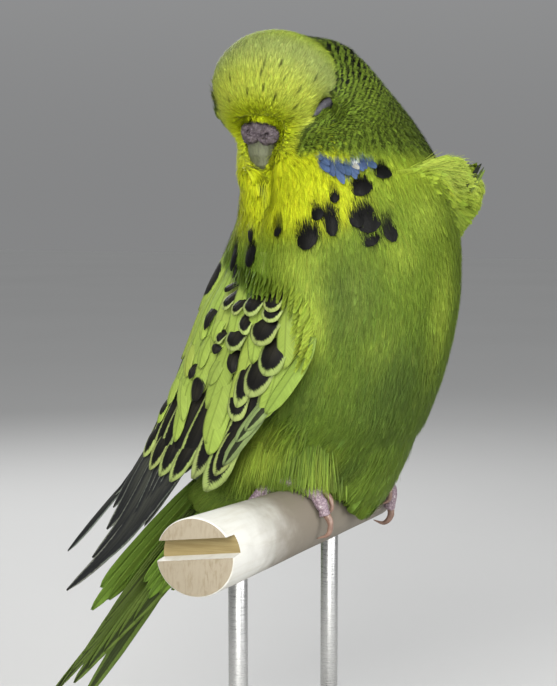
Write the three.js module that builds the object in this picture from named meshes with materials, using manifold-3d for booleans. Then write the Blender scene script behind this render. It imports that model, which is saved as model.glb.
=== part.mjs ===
// A life-size budgerigar resting on a short length of perch, on a plain display stand.
// Millimetres, +Z up. The origin is the centre of the stand's underside, on the surface it rests on.
// The breast faces -Y, the bird's left side is +X, and the tail hangs down towards +Y.
import * as THREE from "three";
import { ConvexGeometry } from "three/addons/geometries/ConvexGeometry.js";
import { mergeVertices } from "three/addons/utils/BufferGeometryUtils.js";
import Module from "manifold-3d";

const wasm = await Module();
wasm.setup();

// Driving dimensions
const GAP = 0.3; // clearance between pieces that touch
const RIGHT = -1;
const LEFT = 1;

// The perch is a short round stick, a little thicker at the end that points to the bird's right
const PERCH = {
  y: 2,
  z: 78,
  nearX: -61.8,
  farX: 23.5,
  nearRadius: 8.8,
  farRadius: 6.7,
  sides: 32,
  endSkew: 12,
  slotHeight: 4.8,
  slotDepth: 9,
  slotLift: 1.5,
  slotTurn: 7,
};

const STAND = {
  radius: 52,
  height: 8,
  edge: 1.6,
  rodRadius: 2.2,
  rodXs: [-44, 0],
  socketDepth: 5,
  pegDepth: 3,
};

// The trunk's middle line from under the tail to the back of the head: half its width, half its depth,
// and how far each cross-section leans, in degrees, from level towards the breast
const SPINE = [
  { x: -4.4, y: 55, z: 51, wide: 4.5, deep: 0.8, lean: 42 },
  { x: -0.6, y: 39.5, z: 71, wide: 9, deep: 7.5, lean: 43 },
  { x: 0, y: 28.4, z: 83.6, wide: 14.5, deep: 13.5, lean: 47 },
  { x: 0, y: 12.2, z: 95.4, wide: 21.5, deep: 21.5, lean: 46 },
  { x: 0, y: 2.4, z: 108.2, wide: 26, deep: 25.8, lean: 29 },
  { x: 0, y: -2.2, z: 121.6, wide: 27, deep: 26.5, lean: 15 },
  { x: 0, y: -4.9, z: 135.3, wide: 27, deep: 26.5, lean: 4 },
  { x: 0, y: -4, z: 150, wide: 26, deep: 26, lean: -7 },
  { x: -0.5, y: -1, z: 160, wide: 24.2, deep: 24.5, lean: -12 },
  { x: 1.5, y: 1.8, z: 170, wide: 19.8, deep: 20.3, lean: -14 },
  { x: 2.8, y: 3.4, z: 179, wide: 14.4, deep: 14.8, lean: -14 },
  { x: 1.4, y: 5, z: 187, wide: 9.8, deep: 10.4, lean: -14 },
  { x: -0.5, y: 6.5, z: 192.5, wide: 6, deep: 6.5, lean: -14 },
  { x: -2.5, y: 8, z: 194.5, wide: 1.5, deep: 1.5, lean: -14 },
];
const TRUNK_SIDES = 28;
const TRUNK_STEPS = 22;

// The head turns to the bird's right and tips down: its own forward, left and crown directions
const HEAD = {
  centre: new THREE.Vector3(-12.3, 10.6, 181.3),
  forward: new THREE.Vector3(-0.749, -0.122, -0.651),
  left: new THREE.Vector3(0.234, -0.968, -0.088),
  crown: new THREE.Vector3(-0.62, -0.219, 0.753),
  halfWidth: 15.8,
  halfLength: 14.8,
  halfHeight: 14.2,
};

// The cuts that part the trunk: a point on each cut, and the direction of the next piece
const TAIL_CUT = { at: [0, 36.5, 74.5], towards: [0, -0.66, 0.75] };
const NECK_CUT = { at: [0, -4, 151.5], towards: [0, 0.1, 0.99] };
const HEAD_CUT = { at: [-5, 6, 171.5], towards: [-0.35, 0.25, 0.9] };

const vec = (x, y, z) => new THREE.Vector3(x, y, z);
const point = (list) => new THREE.Vector3(...list);
const lerp = THREE.MathUtils.lerp;
const smooth = THREE.MathUtils.smoothstep;
const radians = THREE.MathUtils.degToRad;

// Solids and cuts

function signedVolume(positions, index) {
  const a = vec(0, 0, 0);
  const b = vec(0, 0, 0);
  const c = vec(0, 0, 0);
  let sum = 0;
  for (let i = 0; i < index.length; i += 3) {
    a.fromArray(positions, index[i] * 3);
    b.fromArray(positions, index[i + 1] * 3);
    c.fromArray(positions, index[i + 2] * 3);
    sum += a.dot(b.cross(c));
  }
  return sum / 6;
}

function solid(geometry) {
  const bare = geometry.clone();
  bare.deleteAttribute("normal");
  bare.deleteAttribute("uv");
  const welded = mergeVertices(bare, 1e-4);
  const positions = welded.attributes.position.array;
  const index = Array.from(welded.index.array);
  const kept = [];
  for (let i = 0; i < index.length; i += 3) {
    const [a, b, c] = index.slice(i, i + 3);
    if (a !== b && b !== c && c !== a) kept.push(a, b, c);
  }
  if (signedVolume(positions, kept) < 0) kept.reverse();
  const mesh = new wasm.Mesh({
    numProp: 3,
    vertProperties: new Float32Array(positions),
    triVerts: new Uint32Array(kept),
  });
  return new wasm.Manifold(mesh);
}

function join(solids) {
  return solids.reduce((sum, next) => sum.add(next));
}

function cut(base, tools) {
  return tools.reduce((rest, tool) => rest.subtract(tool), base);
}

function largest(shape) {
  const bodies = shape.decompose();
  return bodies.reduce((best, next) => (next.volume() > best.volume() ? next : best));
}

function deform(geometry, place) {
  const positions = geometry.attributes.position;
  const p = vec(0, 0, 0);
  for (let i = 0; i < positions.count; i++) {
    p.fromBufferAttribute(positions, i);
    const q = place(p.x, p.y, p.z);
    positions.setXYZ(i, q.x, q.y, q.z);
  }
  return geometry;
}

function boxAt(width, depth, height, centre, towards = vec(0, 0, 1)) {
  const geometry = new THREE.BoxGeometry(width, depth, height);
  const turn = new THREE.Quaternion().setFromUnitVectors(vec(0, 0, 1), towards.clone().normalize());
  geometry.applyQuaternion(turn);
  geometry.translate(centre.x, centre.y, centre.z);
  return solid(geometry);
}

// All that lies on the near side (or the far side) of a cut, as a large block to take away
function blockBeyond(plane, sign) {
  const size = 400;
  const towards = point(plane.towards).normalize();
  const centre = point(plane.at).addScaledVector(towards, sign * (size / 2 - GAP / 2));
  return boxAt(size, size, size, centre, towards);
}

const LEVEL = [vec(1, 0, 0), vec(0, 1, 0), vec(0, 0, 1)];

function ovalGeometry(centre, axes, radii, columns, rows) {
  const geometry = new THREE.SphereGeometry(1, columns, rows);
  const place = (x, y, z) =>
    centre
      .clone()
      .addScaledVector(axes[0], radii[0] * x)
      .addScaledVector(axes[1], radii[1] * y)
      .addScaledVector(axes[2], radii[2] * z);
  return deform(geometry, place);
}

function ellipsoid(centre, axes, radii, columns, rows) {
  return solid(ovalGeometry(centre, axes, radii, columns, rows));
}

// The smallest bulging form that holds all the given geometries
function wrapped(geometries) {
  const points = geometries.flatMap((g) => {
    const positions = g.attributes.position;
    return Array.from({ length: positions.count }, (_, i) => vec(0, 0, 0).fromBufferAttribute(positions, i));
  });
  return solid(new ConvexGeometry(points));
}

// A round or oval tube along a smooth line, its radii given at the line's own points
function tube(points, radii, sides = 8, steps = 12, grow = 0) {
  const line = new THREE.CatmullRomCurve3(points, false, "centripetal");
  const size = new THREE.CatmullRomCurve3(radii.map((r, i) => vec(r, i, 0)), false, "catmullrom");
  const frames = line.computeFrenetFrames(steps, false);
  const geometry = new THREE.CylinderGeometry(1, 1, 1, sides, steps);
  const place = (x, y, z) => {
    const t = 0.5 - y;
    const k = Math.round(t * steps);
    const radius = size.getPoint(t).x + grow;
    return line
      .getPointAt(t)
      .addScaledVector(frames.normals[k], radius * x)
      .addScaledVector(frames.binormals[k], radius * z)
      .addScaledVector(frames.tangents[k], k === 0 ? -grow : k === steps ? grow : 0);
  };
  return solid(deform(geometry, place));
}

// Feathers

// How far along a feather each of its cross-rows stands, and how wide it is there
const LONG_VANE = { rows: [0, 0.38, 0.74, 0.92, 1], shape: [0.62, 0.96, 1, 0.72, 0.2] };
const SHORT_VANE = { rows: [0, 0.5, 0.87, 1], shape: [0.7, 1, 0.84, 0.3] };
const VANE_THICKNESS = 0.5;
const VANE_TILT = 0.62; // how much one edge of a feather rises over the next one, and the other edge dips

// A thin curved blade: `corner` gives the point at row t, edge -1 or 1, and so much above the middle sheet.
// Both faces are split into triangles alike, so they keep their distance.
function vane({ rows, shape }, corner) {
  const last = rows.length - 1;
  const positions = [];
  rows.forEach((t, k) => {
    const half = (VANE_THICKNESS / 2) * lerp(1, 0.7, k / last);
    const ring = [corner(t, -1, shape[k], half), corner(t, 1, shape[k], half)];
    ring.push(corner(t, 1, shape[k], -half), corner(t, -1, shape[k], -half));
    ring.forEach((q) => positions.push(q.x, q.y, q.z));
  });
  const index = [0, 3, 2, 0, 2, 1];
  for (let k = 0; k < last; k++) {
    const a = 4 * k;
    const b = a + 4;
    index.push(a, a + 1, b + 1, a, b + 1, b);
    index.push(a + 3, b + 2, a + 2, a + 3, b + 3, b + 2);
    index.push(a + 1, a + 2, b + 2, a + 1, b + 2, b + 1);
    index.push(a + 3, a, b, a + 3, b, b + 3);
  }
  const e = 4 * last;
  index.push(e, e + 1, e + 2, e, e + 2, e + 3);
  const geometry = new THREE.BufferGeometry();
  geometry.setAttribute("position", new THREE.BufferAttribute(new Float32Array(positions), 3));
  geometry.setIndex(index);
  return solid(geometry);
}

// A repeatable draw between -1 and 1
function randomFrom(seed) {
  let state = seed;
  return () => {
    state = (state * 1664525 + 1013904223) % 4294967296;
    return (2 * state) / 4294967296 - 1;
  };
}

// Trunk

const spineLine = new THREE.CatmullRomCurve3(SPINE.map((s) => vec(s.x, s.y, s.z)), false, "catmullrom");
const spineSize = new THREE.CatmullRomCurve3(SPINE.map((s) => vec(s.wide, s.deep, s.lean)), false, "catmullrom");

function trunkPoint(t, across, front, grow) {
  const size = spineSize.getPoint(t);
  const lean = radians(size.z);
  return spineLine
    .getPoint(t)
    .add(vec((size.x + grow) * across, 0, 0))
    .addScaledVector(vec(0, -Math.cos(lean), -Math.sin(lean)), (size.y + grow) * front);
}

function trunk(grow = 0) {
  const geometry = new THREE.CylinderGeometry(1, 1, 1, TRUNK_SIDES, TRUNK_STEPS);
  return solid(deform(geometry, (x, y, z) => trunkPoint(0.5 - y, x, z, grow)));
}

// Soft feathers that hang in front of the perch between the feet
function apron() {
  return ellipsoid(vec(0.5, -3.5, 101), LEVEL, [17.5, 15, 26], 22, 12);
}

// The full throat under the face, down to the breast
function throat() {
  return ellipsoid(vec(-9.5, 7.5, 163), LEVEL, [13.5, 14, 16], 20, 12);
}

function headAxes() {
  return [HEAD.left, HEAD.crown, HEAD.forward];
}

function headPoint(forward, left, crown) {
  return HEAD.centre
    .clone()
    .addScaledVector(HEAD.forward, forward)
    .addScaledVector(HEAD.left, left)
    .addScaledVector(HEAD.crown, crown);
}

// The skull's round form with the high, full forehead that stands out over the cere, and the back of the head
function skull() {
  const axes = headAxes();
  const round = ovalGeometry(HEAD.centre, axes, [HEAD.halfWidth, HEAD.halfHeight, HEAD.halfLength], 24, 16);
  const forehead = ovalGeometry(headPoint(4, 0, 1.2), axes, [13.8, 11.6, 11.4], 16, 10);
  const hindhead = ovalGeometry(headPoint(-4.6, 0, -3.4), axes, [15, 14, 14.8], 16, 10);
  return wrapped([round, forehead, hindhead]);
}

// Perch and stand

function perchRadius(x) {
  const t = (x - PERCH.nearX) / (PERCH.farX - PERCH.nearX);
  return lerp(PERCH.nearRadius, PERCH.farRadius, t);
}

function perchStick(grow = 0) {
  const length = PERCH.farX - PERCH.nearX;
  const near = PERCH.nearRadius + grow;
  const far = PERCH.farRadius + grow;
  const geometry = new THREE.CylinderGeometry(far, near, length, PERCH.sides, 1);
  const slant = Math.tan(radians(PERCH.endSkew));
  const place = (x, y, z) => {
    const along = lerp(PERCH.nearX, PERCH.farX, y / length + 0.5);
    const skew = y < 0 ? -slant * z : 0;
    return vec(along - skew + Math.sign(y) * grow, PERCH.y - z, PERCH.z + x);
  };
  return solid(deform(geometry, place));
}

function rod(x, grow = 0) {
  const bottom = STAND.height - STAND.socketDepth - grow;
  const top = PERCH.z - perchRadius(x) + STAND.pegDepth + grow;
  const geometry = new THREE.CylinderGeometry(STAND.rodRadius + grow, STAND.rodRadius + grow, top - bottom, 20, 1);
  geometry.rotateX(Math.PI / 2);
  geometry.translate(x, PERCH.y, (top + bottom) / 2);
  return solid(geometry);
}

function perch() {
  const middle = vec(PERCH.nearX + PERCH.slotDepth / 2 - 2, PERCH.y, PERCH.z + PERCH.slotLift);
  const turned = vec(0, Math.sin(radians(PERCH.slotTurn)), Math.cos(radians(PERCH.slotTurn)));
  const slot = boxAt(PERCH.slotDepth + 4, 40, PERCH.slotHeight, middle, turned);
  const holes = STAND.rodXs.map((x) => rod(x, GAP));
  return cut(perchStick(), [slot, ...holes]);
}

function standBase() {
  const { radius, height, edge } = STAND;
  const outline = new THREE.Path();
  outline.moveTo(0, 0);
  outline.lineTo(radius - edge, 0);
  outline.lineTo(radius, edge);
  outline.lineTo(radius, height - 2 * edge);
  outline.quadraticCurveTo(radius, height, radius - 2 * edge, height);
  outline.lineTo(0, height);
  const geometry = new THREE.LatheGeometry(outline.getPoints(2), 40);
  geometry.rotateX(Math.PI / 2);
  return cut(solid(geometry), STAND.rodXs.map((x) => rod(x, GAP)));
}

// Feet: two toes forward and two back, each with its claw, gripping the perch

const FOOT = {
  outRight: 19,
  outLeft: 17.4,
  toeRadius: 1.7,
  // how far round the perch each toe and its claw reach, in degrees from the top towards the front
  toes: [
    { spread: -3, from: 20, to: 74, claw: 99 },
    { spread: 2.6, from: 20, to: 84, claw: 109 },
    { spread: -2.6, from: -20, to: -78, claw: -104 },
    { spread: 3.4, from: -20, to: -90, claw: -116 },
  ],
  // the left foot reaches further round, because the perch is thinner there
  leftReach: 1.45,
};

function roundPerch(x, degrees, lift) {
  const angle = radians(degrees);
  const radius = perchRadius(x) + lift;
  return vec(x, PERCH.y - radius * Math.sin(angle), PERCH.z + radius * Math.cos(angle));
}

function footOut(side) {
  return side === LEFT ? FOOT.outLeft : FOOT.outRight;
}

function toe(side, spec, grow) {
  const lift = GAP + FOOT.toeRadius + 0.15;
  const reach = side === LEFT ? FOOT.leftReach : 1;
  const end = spec.to * reach;
  const clawEnd = spec.claw * reach;
  const points = [];
  const radii = [];
  const joints = 4;
  for (let i = 0; i <= joints; i++) {
    const t = i / joints;
    const angle = lerp(spec.from, end, t);
    const x = side * (footOut(side) + spec.spread * smooth(t, 0, 0.7));
    points.push(roundPerch(x, angle, lift));
    radii.push(FOOT.toeRadius * lerp(1.08, 0.8, t));
  }
  const tipX = side * (footOut(side) + spec.spread * 1.1);
  const root = roundPerch(tipX, lerp(spec.from, end, 0.9), lift - 0.3);
  const bend = roundPerch(tipX, lerp(end, clawEnd, 0.45), lift + 0.5);
  const tip = roundPerch(tipX, clawEnd, lift - 0.7);
  const claw = tube([root, bend, tip], [1.25, 0.95, 0.3], 5, 3, grow);
  return tube(points, radii, 6, 5, grow).add(claw);
}

function foot(side, grow = 0) {
  const x = side * footOut(side);
  const topZ = PERCH.z + perchRadius(x);
  const palm = ellipsoid(
    vec(x, PERCH.y, topZ + GAP + 2.3),
    LEVEL,
    [4.4 + grow, 4.6 + grow, 2.2 + grow],
    10,
    6,
  );
  const ankle = [
    vec(x, PERCH.y, topZ + 2),
    vec(x - side * 0.8, PERCH.y + 2.5, topZ + 7),
    vec(x - side * 2, PERCH.y + 5.5, topZ + 13),
  ];
  const shank = tube(ankle, [2.3, 2.1, 2.4], 7, 3, grow);
  const toes = FOOT.toes.map((spec) => toe(side, spec, grow));
  return join([shank, palm, ...toes]);
}

// Cere and beak

function cere(grow = 0) {
  const bulb = (left) => ellipsoid(headPoint(14.4, left, -1.2), headAxes(), [2.9 + grow, 2.5 + grow, 2.6 + grow], 12, 7);
  const bridge = ellipsoid(headPoint(13.6, 0, -0.6), headAxes(), [3.6 + grow, 2.5 + grow, 2.8 + grow], 10, 6);
  const whole = join([bulb(-2.2), bulb(2.2), bridge]);
  if (grow > 0) return whole;
  const nostril = (left) => tube([headPoint(15.6, left, -0.2), headPoint(19, left * 1.4, 1.4)], [0.6, 0.6], 6, 1);
  return cut(whole, [nostril(-2.3), nostril(2.3)]);
}

// A curved, tapering horn in the head's middle plane, wider than it is deep
function horn(line, widths, depths, grow) {
  const path = new THREE.CatmullRomCurve3(line.map(([f, c]) => vec(f, c, 0)), false, "catmullrom");
  const sizes = new THREE.CatmullRomCurve3(widths.map((w, i) => vec(w, depths[i], 0)), false, "catmullrom");
  const geometry = new THREE.CylinderGeometry(1, 1, 1, 12, 7);
  const place = (x, y, z) => {
    const t = 0.5 - y;
    const at = path.getPoint(t);
    const along = path.getTangent(t);
    const size = sizes.getPoint(t);
    const out = z * (size.y + grow);
    const end = t === 0 ? -grow : t === 1 ? grow : 0;
    return headPoint(at.x - along.y * out + along.x * end, x * (size.x + grow), at.y + along.x * out + along.y * end);
  };
  return solid(deform(geometry, place));
}

function upperBeak(grow = 0) {
  const line = [
    [9, -2.6],
    [13.2, -4.6],
    [15, -8.4],
    [14.4, -12.4],
    [12.4, -16],
  ];
  return horn(line, [4.1, 4, 3.3, 2.1, 0.5], [2.6, 2.7, 2.3, 1.5, 0.4], grow);
}

function lowerBeak(grow = 0) {
  const line = [
    [5.5, -6],
    [8.4, -8],
    [10.2, -10.6],
    [10, -12.6],
  ];
  return horn(line, [3.6, 3.5, 2.7, 1.4], [2.4, 2.2, 1.5, 0.8], grow);
}

// Closed lids: a low oval dome on each side of the head with the slit where the lids meet

function lid(side, grow = 0) {
  const centre = headPoint(5.4, side * 13.3, -0.6);
  const out = centre.clone().sub(HEAD.centre).normalize();
  const along = HEAD.forward.clone().addScaledVector(out, -HEAD.forward.dot(out)).normalize();
  const up = vec(0, 0, 0).crossVectors(out, along);
  const dome = ellipsoid(centre, [along, up, out], [3.5 + grow, 2.8 + grow, 1.7 + grow], 16, 8);
  if (grow > 0) return dome;
  const slitCentre = centre.clone().addScaledVector(out, 1.75);
  const slit = ellipsoid(slitCentre, [along, up, out], [3.3, 0.22, 0.6], 12, 6);
  return dome.subtract(slit);
}

// Wings: a guide surface over the side of the trunk, from the bend at the shoulder to the tips of the primaries.
// Each guide line gives the distance out from the bird's middle plane, then y and z.

const WING_FRONT = [
  [27.5, -9, 148],
  [29, -9, 134],
  [29.3, -6.5, 119],
  [29, 0.5, 106],
  [28, 11, 95],
  [25.5, 23, 84],
  [23.5, 42, 69.5],
  [25.2, 66.6, 52.4],
];
const WING_MIDDLE = [
  [18, 17, 152],
  [17.4, 20, 137],
  [18.2, 25.2, 126],
  [19.2, 31.8, 113],
  [20, 37.6, 101.5],
  [21.5, 43.5, 90],
  [22, 53, 75.5],
  [23.2, 68.2, 57.5],
];
const WING_BACK = [
  [3.5, 17, 157],
  [3.2, 25, 143],
  [3, 29.6, 129],
  [3, 34.8, 115],
  [3.6, 40.2, 103],
  [6, 46, 93],
  [14, 57, 80],
  [20.8, 69, 63.7],
];

// The flesh of the wing ends where the flight feathers take over
const WING_CORE = { reach: 0.64, taper: 0.35, depth: 5.5, endShift: -0.1 };

// The tiers of wing feathers. Each row gives the root and the tip of a feather on the wing's sheet (u, v),
// its half width, and its height over the sheet at the tip. Between the first and the last row of a tier
// the others are spread evenly.
const WING_TIERS = [
  {
    name: "primaries, lower group",
    kind: LONG_VANE,
    count: 5,
    first: { root: [0.5, -0.72], tip: [0.79, -0.97], half: 2.3, lift: -0.9 },
    last: { root: [0.5, 0.05], tip: [1, -0.82], half: 2.4, lift: -0.1 },
  },
  {
    name: "primaries, upper group",
    kind: LONG_VANE,
    count: 3,
    first: { root: [0.52, -0.1], tip: [0.9, -0.25], half: 2.6, lift: 0.1 },
    last: { root: [0.52, 0.5], tip: [1, 0.9], half: 2.2, lift: -0.2 },
  },
  {
    name: "secondaries",
    kind: LONG_VANE,
    count: 6,
    first: { root: [0.34, -0.72], tip: [0.7, -0.98], half: 3.3, lift: -0.1 },
    last: { root: [0.34, 0.3], tip: [0.705, 0.15], half: 3.2, lift: 0.4 },
  },
  {
    name: "tertials",
    kind: LONG_VANE,
    count: 2,
    first: { root: [0.32, 0.4], tip: [0.68, 0.42], half: 3.6, lift: 0.5 },
    last: { root: [0.3, 0.8], tip: [0.62, 0.86], half: 3.5, lift: 0.6 },
  },
  {
    name: "greater coverts",
    kind: SHORT_VANE,
    count: 6,
    first: { root: [0.14, -0.8], tip: [0.46, -0.93], half: 3.6, lift: 0.6 },
    last: { root: [0.16, 0.62], tip: [0.56, 0.5], half: 4, lift: 1 },
  },
  {
    name: "median coverts",
    kind: SHORT_VANE,
    count: 5,
    first: { root: [0.03, -0.75], tip: [0.3, -0.88], half: 4, lift: 0.8 },
    last: { root: [0.04, 0.35], tip: [0.32, 0.22], half: 4, lift: 1 },
  },
  {
    name: "scapulars",
    kind: SHORT_VANE,
    count: 3,
    first: { root: [0.03, 0.3], tip: [0.4, 0.2], half: 4.6, lift: 1.3 },
    last: { root: [0.03, 0.8], tip: [0.46, 0.78], half: 4.4, lift: 1.1 },
  },
];
const ROOT_DEPTH = 1.5; // how deep in the flesh a feather's root lies

function wingGuides(side) {
  const drawIn = side === LEFT ? 7 : 0;
  const line = (rows) => {
    const last = rows.length - 1;
    const points = rows.map(([out, y, z], i) => vec(side * (out - drawIn * (i / last) ** 2), y, z));
    return new THREE.CatmullRomCurve3(points, false, "catmullrom");
  };
  return [line(WING_FRONT), line(WING_MIDDLE), line(WING_BACK)];
}

function guidePoint(guides, u, v) {
  const [front, middle, back] = guides.map((g) => g.getPoint(THREE.MathUtils.clamp(u, 0, 1)));
  return front
    .multiplyScalar((v * (v - 1)) / 2)
    .addScaledVector(middle, 1 - v * v)
    .addScaledVector(back, (v * (v + 1)) / 2);
}

function onWing(side, guides, u, v, height) {
  const e = 0.02;
  const along = guidePoint(guides, u + e, v).sub(guidePoint(guides, u - e, v));
  const across = guidePoint(guides, u, v + e).sub(guidePoint(guides, u, v - e));
  const normal = vec(0, 0, 0).crossVectors(across, along).multiplyScalar(-side).normalize();
  return guidePoint(guides, u, v).addScaledVector(normal, height);
}

// How far the wing's sheet swells over the flesh near the shoulder
function wingSwell(u, v) {
  const near = 1 - smooth(u, 0.15, 0.5);
  return near * (1.6 * (1 - v * v) + 2.2 * Math.exp(-(((v + 0.62) / 0.3) ** 2)));
}

function wingCore(side) {
  const guides = wingGuides(side);
  const geometry = new THREE.CylinderGeometry(1, 1, 1, 14, 8);
  const place = (x, y, z) => {
    const u = (0.5 - y) * WING_CORE.reach;
    const narrow = 1 - WING_CORE.taper * smooth(u, 0.35, WING_CORE.reach);
    const under = lerp(WING_CORE.depth, 0.8, smooth(u, 0.4, WING_CORE.reach));
    const v = x * narrow + WING_CORE.endShift * smooth(u, 0.35, WING_CORE.reach);
    return onWing(side, guides, u, v, wingSwell(u, v) - 1.3 + (z > 0 ? 0.8 * z : under * z));
  };
  return solid(deform(geometry, place));
}

// The left wing's shoulder stands out at the bird's front, a soft lobe with a raised tip
function shoulderLobe() {
  const part = (centre, radii) => ovalGeometry(centre, LEVEL, radii, 10, 7);
  const front = part(vec(31, -14.5, 152.5), [6.8, 6.6, 10.5]);
  const middle = part(vec(27.5, -3, 146), [4.6, 7, 11]);
  const below = part(vec(28, -7, 131), [2.6, 5, 9]);
  const rear = part(vec(20, 12, 143), [4.6, 6, 12]);
  const low = part(vec(25, 6, 126), [2.6, 5, 8]);
  const tip = tube([vec(33, -16.5, 155), vec(37.5, -18.6, 161), vec(39.2, -19.6, 165.5)], [4.6, 2.6, 0.5], 8, 4);
  return join([wrapped([front, middle, below]), wrapped([middle, below, rear, low]), tip]);
}

function wingFeather(side, guides, feather) {
  const { root, tip, half, lift } = feather;
  const corner = (t, edge, share, above) => {
    const u = lerp(root[0], tip[0], t);
    const middle = lerp(root[1], tip[1], t);
    const perV = guidePoint(guides, u, middle + 0.02).distanceTo(guidePoint(guides, u, middle - 0.02)) / 0.04;
    const v = middle + (edge * share * half) / perV;
    const base = wingSwell(u, middle) + lerp(-ROOT_DEPTH - 1, lift, smooth(t, -0.15, 0.75));
    return onWing(side, guides, u, v, base + edge * share * VANE_TILT + above);
  };
  return vane(feather.kind, corner);
}

function wingFeathers(side) {
  const guides = wingGuides(side);
  const random = randomFrom(11 + side);
  const mix = (a, b, t) => (Array.isArray(a) ? a.map((x, i) => lerp(x, b[i], t)) : lerp(a, b, t));
  return WING_TIERS.flatMap(({ count, kind, first, last }) =>
    Array.from({ length: count }, (_, i) => {
      const t = i / (count - 1);
      const feather = { kind };
      for (const key of Object.keys(first)) feather[key] = mix(first[key], last[key], t);
      feather.tip[0] = Math.min(1, feather.tip[0] + 0.008 * random());
      feather.half *= 1 + 0.05 * random();
      return wingFeather(side, guides, feather);
    }),
  );
}

function wing(side) {
  const core = wingCore(side);
  const flesh = side === LEFT ? core.add(shoulderLobe()) : core;
  const acrossMiddle = boxAt(200, 400, 400, vec(-side * (100 - GAP), 0, 100));
  return largest(cut(join([flesh, ...wingFeathers(side)]), [trunk(GAP), acrossMiddle]));
}

// Tail

const TAIL = {
  root: vec(0, 36, 75),
  tip: vec(-10.6, 83.5, 15.5),
  twist: 28,
  pairs: 6,
  shorten: 0.085, // how much shorter each pair is than the one inside it
  rootSpread: 0.65,
  tipSpread: 0.55,
  part: 0.6,
  longestPart: { right: 3, left: 6 }, // how far the tips of the longest two stand from the middle
  half: 2.4,
  rise: 0.35, // how far each feather lies over its outer neighbour
  coverts: 4,
};

function tailFrame() {
  const along = TAIL.tip.clone().sub(TAIL.root).normalize();
  const side = vec(1, 0, 0).addScaledVector(along, -along.x).normalize();
  side.applyAxisAngle(along, radians(TAIL.twist));
  const top = vec(0, 0, 0).crossVectors(along, side).multiplyScalar(-1);
  return { along, side, top };
}

function tailFeather({ along, side, top }, feather) {
  const length = TAIL.tip.distanceTo(TAIL.root);
  const corner = (t, edge, share, above) => {
    const at = lerp(feather.from, feather.to, t);
    const across = lerp(feather.rootAcross, feather.tipAcross, t) + edge * share * feather.half;
    const height = feather.height + edge * share * VANE_TILT * feather.turn + above;
    return TAIL.root
      .clone()
      .addScaledVector(along, length * at)
      .addScaledVector(side, across)
      .addScaledVector(top, height);
  };
  return vane(feather.kind, corner);
}

// Twelve tail feathers in graduated pairs, and short coverts over their roots
function tailFeathers() {
  const frame = tailFrame();
  const random = randomFrom(5);
  const feathers = [];
  for (let pair = 0; pair < TAIL.pairs; pair++) {
    for (const hand of [RIGHT, LEFT]) {
      const place = pair + 0.5;
      const longest = hand === LEFT ? TAIL.longestPart.left : TAIL.longestPart.right;
      feathers.push({
        kind: LONG_VANE,
        from: 0.06,
        to: 1 - TAIL.shorten * pair - (hand === LEFT ? 0.03 : 0) + 0.008 * random(),
        rootAcross: hand * TAIL.rootSpread * place,
        tipAcross: hand * (TAIL.tipSpread * place + (pair === 0 ? longest : TAIL.part)),
        half: TAIL.half,
        height: 0.4 - TAIL.rise * pair,
        turn: -hand,
      });
    }
  }
  for (let i = 0; i < TAIL.coverts; i++) {
    const across = (i - (TAIL.coverts - 1) / 2) * 3.2;
    const to = 0.38 - 0.02 * Math.abs(across);
    feathers.push({
      kind: SHORT_VANE,
      from: 0.02,
      to,
      rootAcross: across * 0.8,
      tipAcross: across,
      half: 3,
      height: 1.3,
      turn: 0.4,
    });
  }
  return feathers.map((feather) => tailFeather(frame, feather));
}

// The whole bird, parted with thin cuts

function buildPieces() {
  const body = join([trunk(), apron(), throat()]);
  const perchRoom = perchStick(GAP);
  const feetRoom = [foot(RIGHT, GAP), foot(LEFT, GAP)];
  const faceRoom = [cere(GAP), upperBeak(GAP), lowerBeak(GAP), lid(RIGHT, GAP), lid(LEFT, GAP)];
  const torso = cut(body, [blockBeyond(TAIL_CUT, -1), blockBeyond(NECK_CUT, 1), perchRoom, ...feetRoom]);
  const neck = cut(body, [blockBeyond(NECK_CUT, -1), blockBeyond(HEAD_CUT, 1), ...faceRoom]);
  const head = cut(join([trunk(), throat(), skull()]), [blockBeyond(HEAD_CUT, -1), ...faceRoom]);
  const tailRoot = cut(trunk(), [blockBeyond(TAIL_CUT, 1)]);
  const tail = cut(join([tailRoot, ...tailFeathers()]), [blockBeyond(TAIL_CUT, 1)]);
  return {
    torso: largest(torso),
    neck: largest(neck),
    head: largest(head),
    cere: cere(),
    beak_upper: largest(cut(upperBeak(), [cere(GAP)])),
    beak_lower: largest(cut(lowerBeak(), [upperBeak(GAP)])),
    eye_right: lid(RIGHT),
    eye_left: lid(LEFT),
    wing_right: wing(RIGHT),
    wing_left: wing(LEFT),
    tail: largest(tail),
    foot_right: foot(RIGHT),
    foot_left: foot(LEFT),
    perch: perch(),
    stand_base: standBase(),
    stand_rod_right: rod(STAND.rodXs[0]),
    stand_rod_left: rod(STAND.rodXs[1]),
  };
}

const FINISHES = {
  torso: [0x6f9a2e, 0.85],
  neck: [0x9fae2a, 0.85],
  head: [0xb9c254, 0.85],
  cere: [0x8a7286, 0.6],
  beak_upper: [0x7d8068, 0.45],
  beak_lower: [0x7d8068, 0.45],
  eye_right: [0x6f6a80, 0.6],
  eye_left: [0x6f6a80, 0.6],
  wing_right: [0xa9b862, 0.8],
  wing_left: [0xa9b862, 0.8],
  tail: [0x4d5a2c, 0.8],
  foot_right: [0x8d6f78, 0.6],
  foot_left: [0x8d6f78, 0.6],
  perch: [0xe4dccb, 0.7],
  stand_base: [0x2b2a28, 0.5],
  stand_rod_right: [0x9a9a98, 0.35],
  stand_rod_left: [0x9a9a98, 0.35],
};

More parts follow.
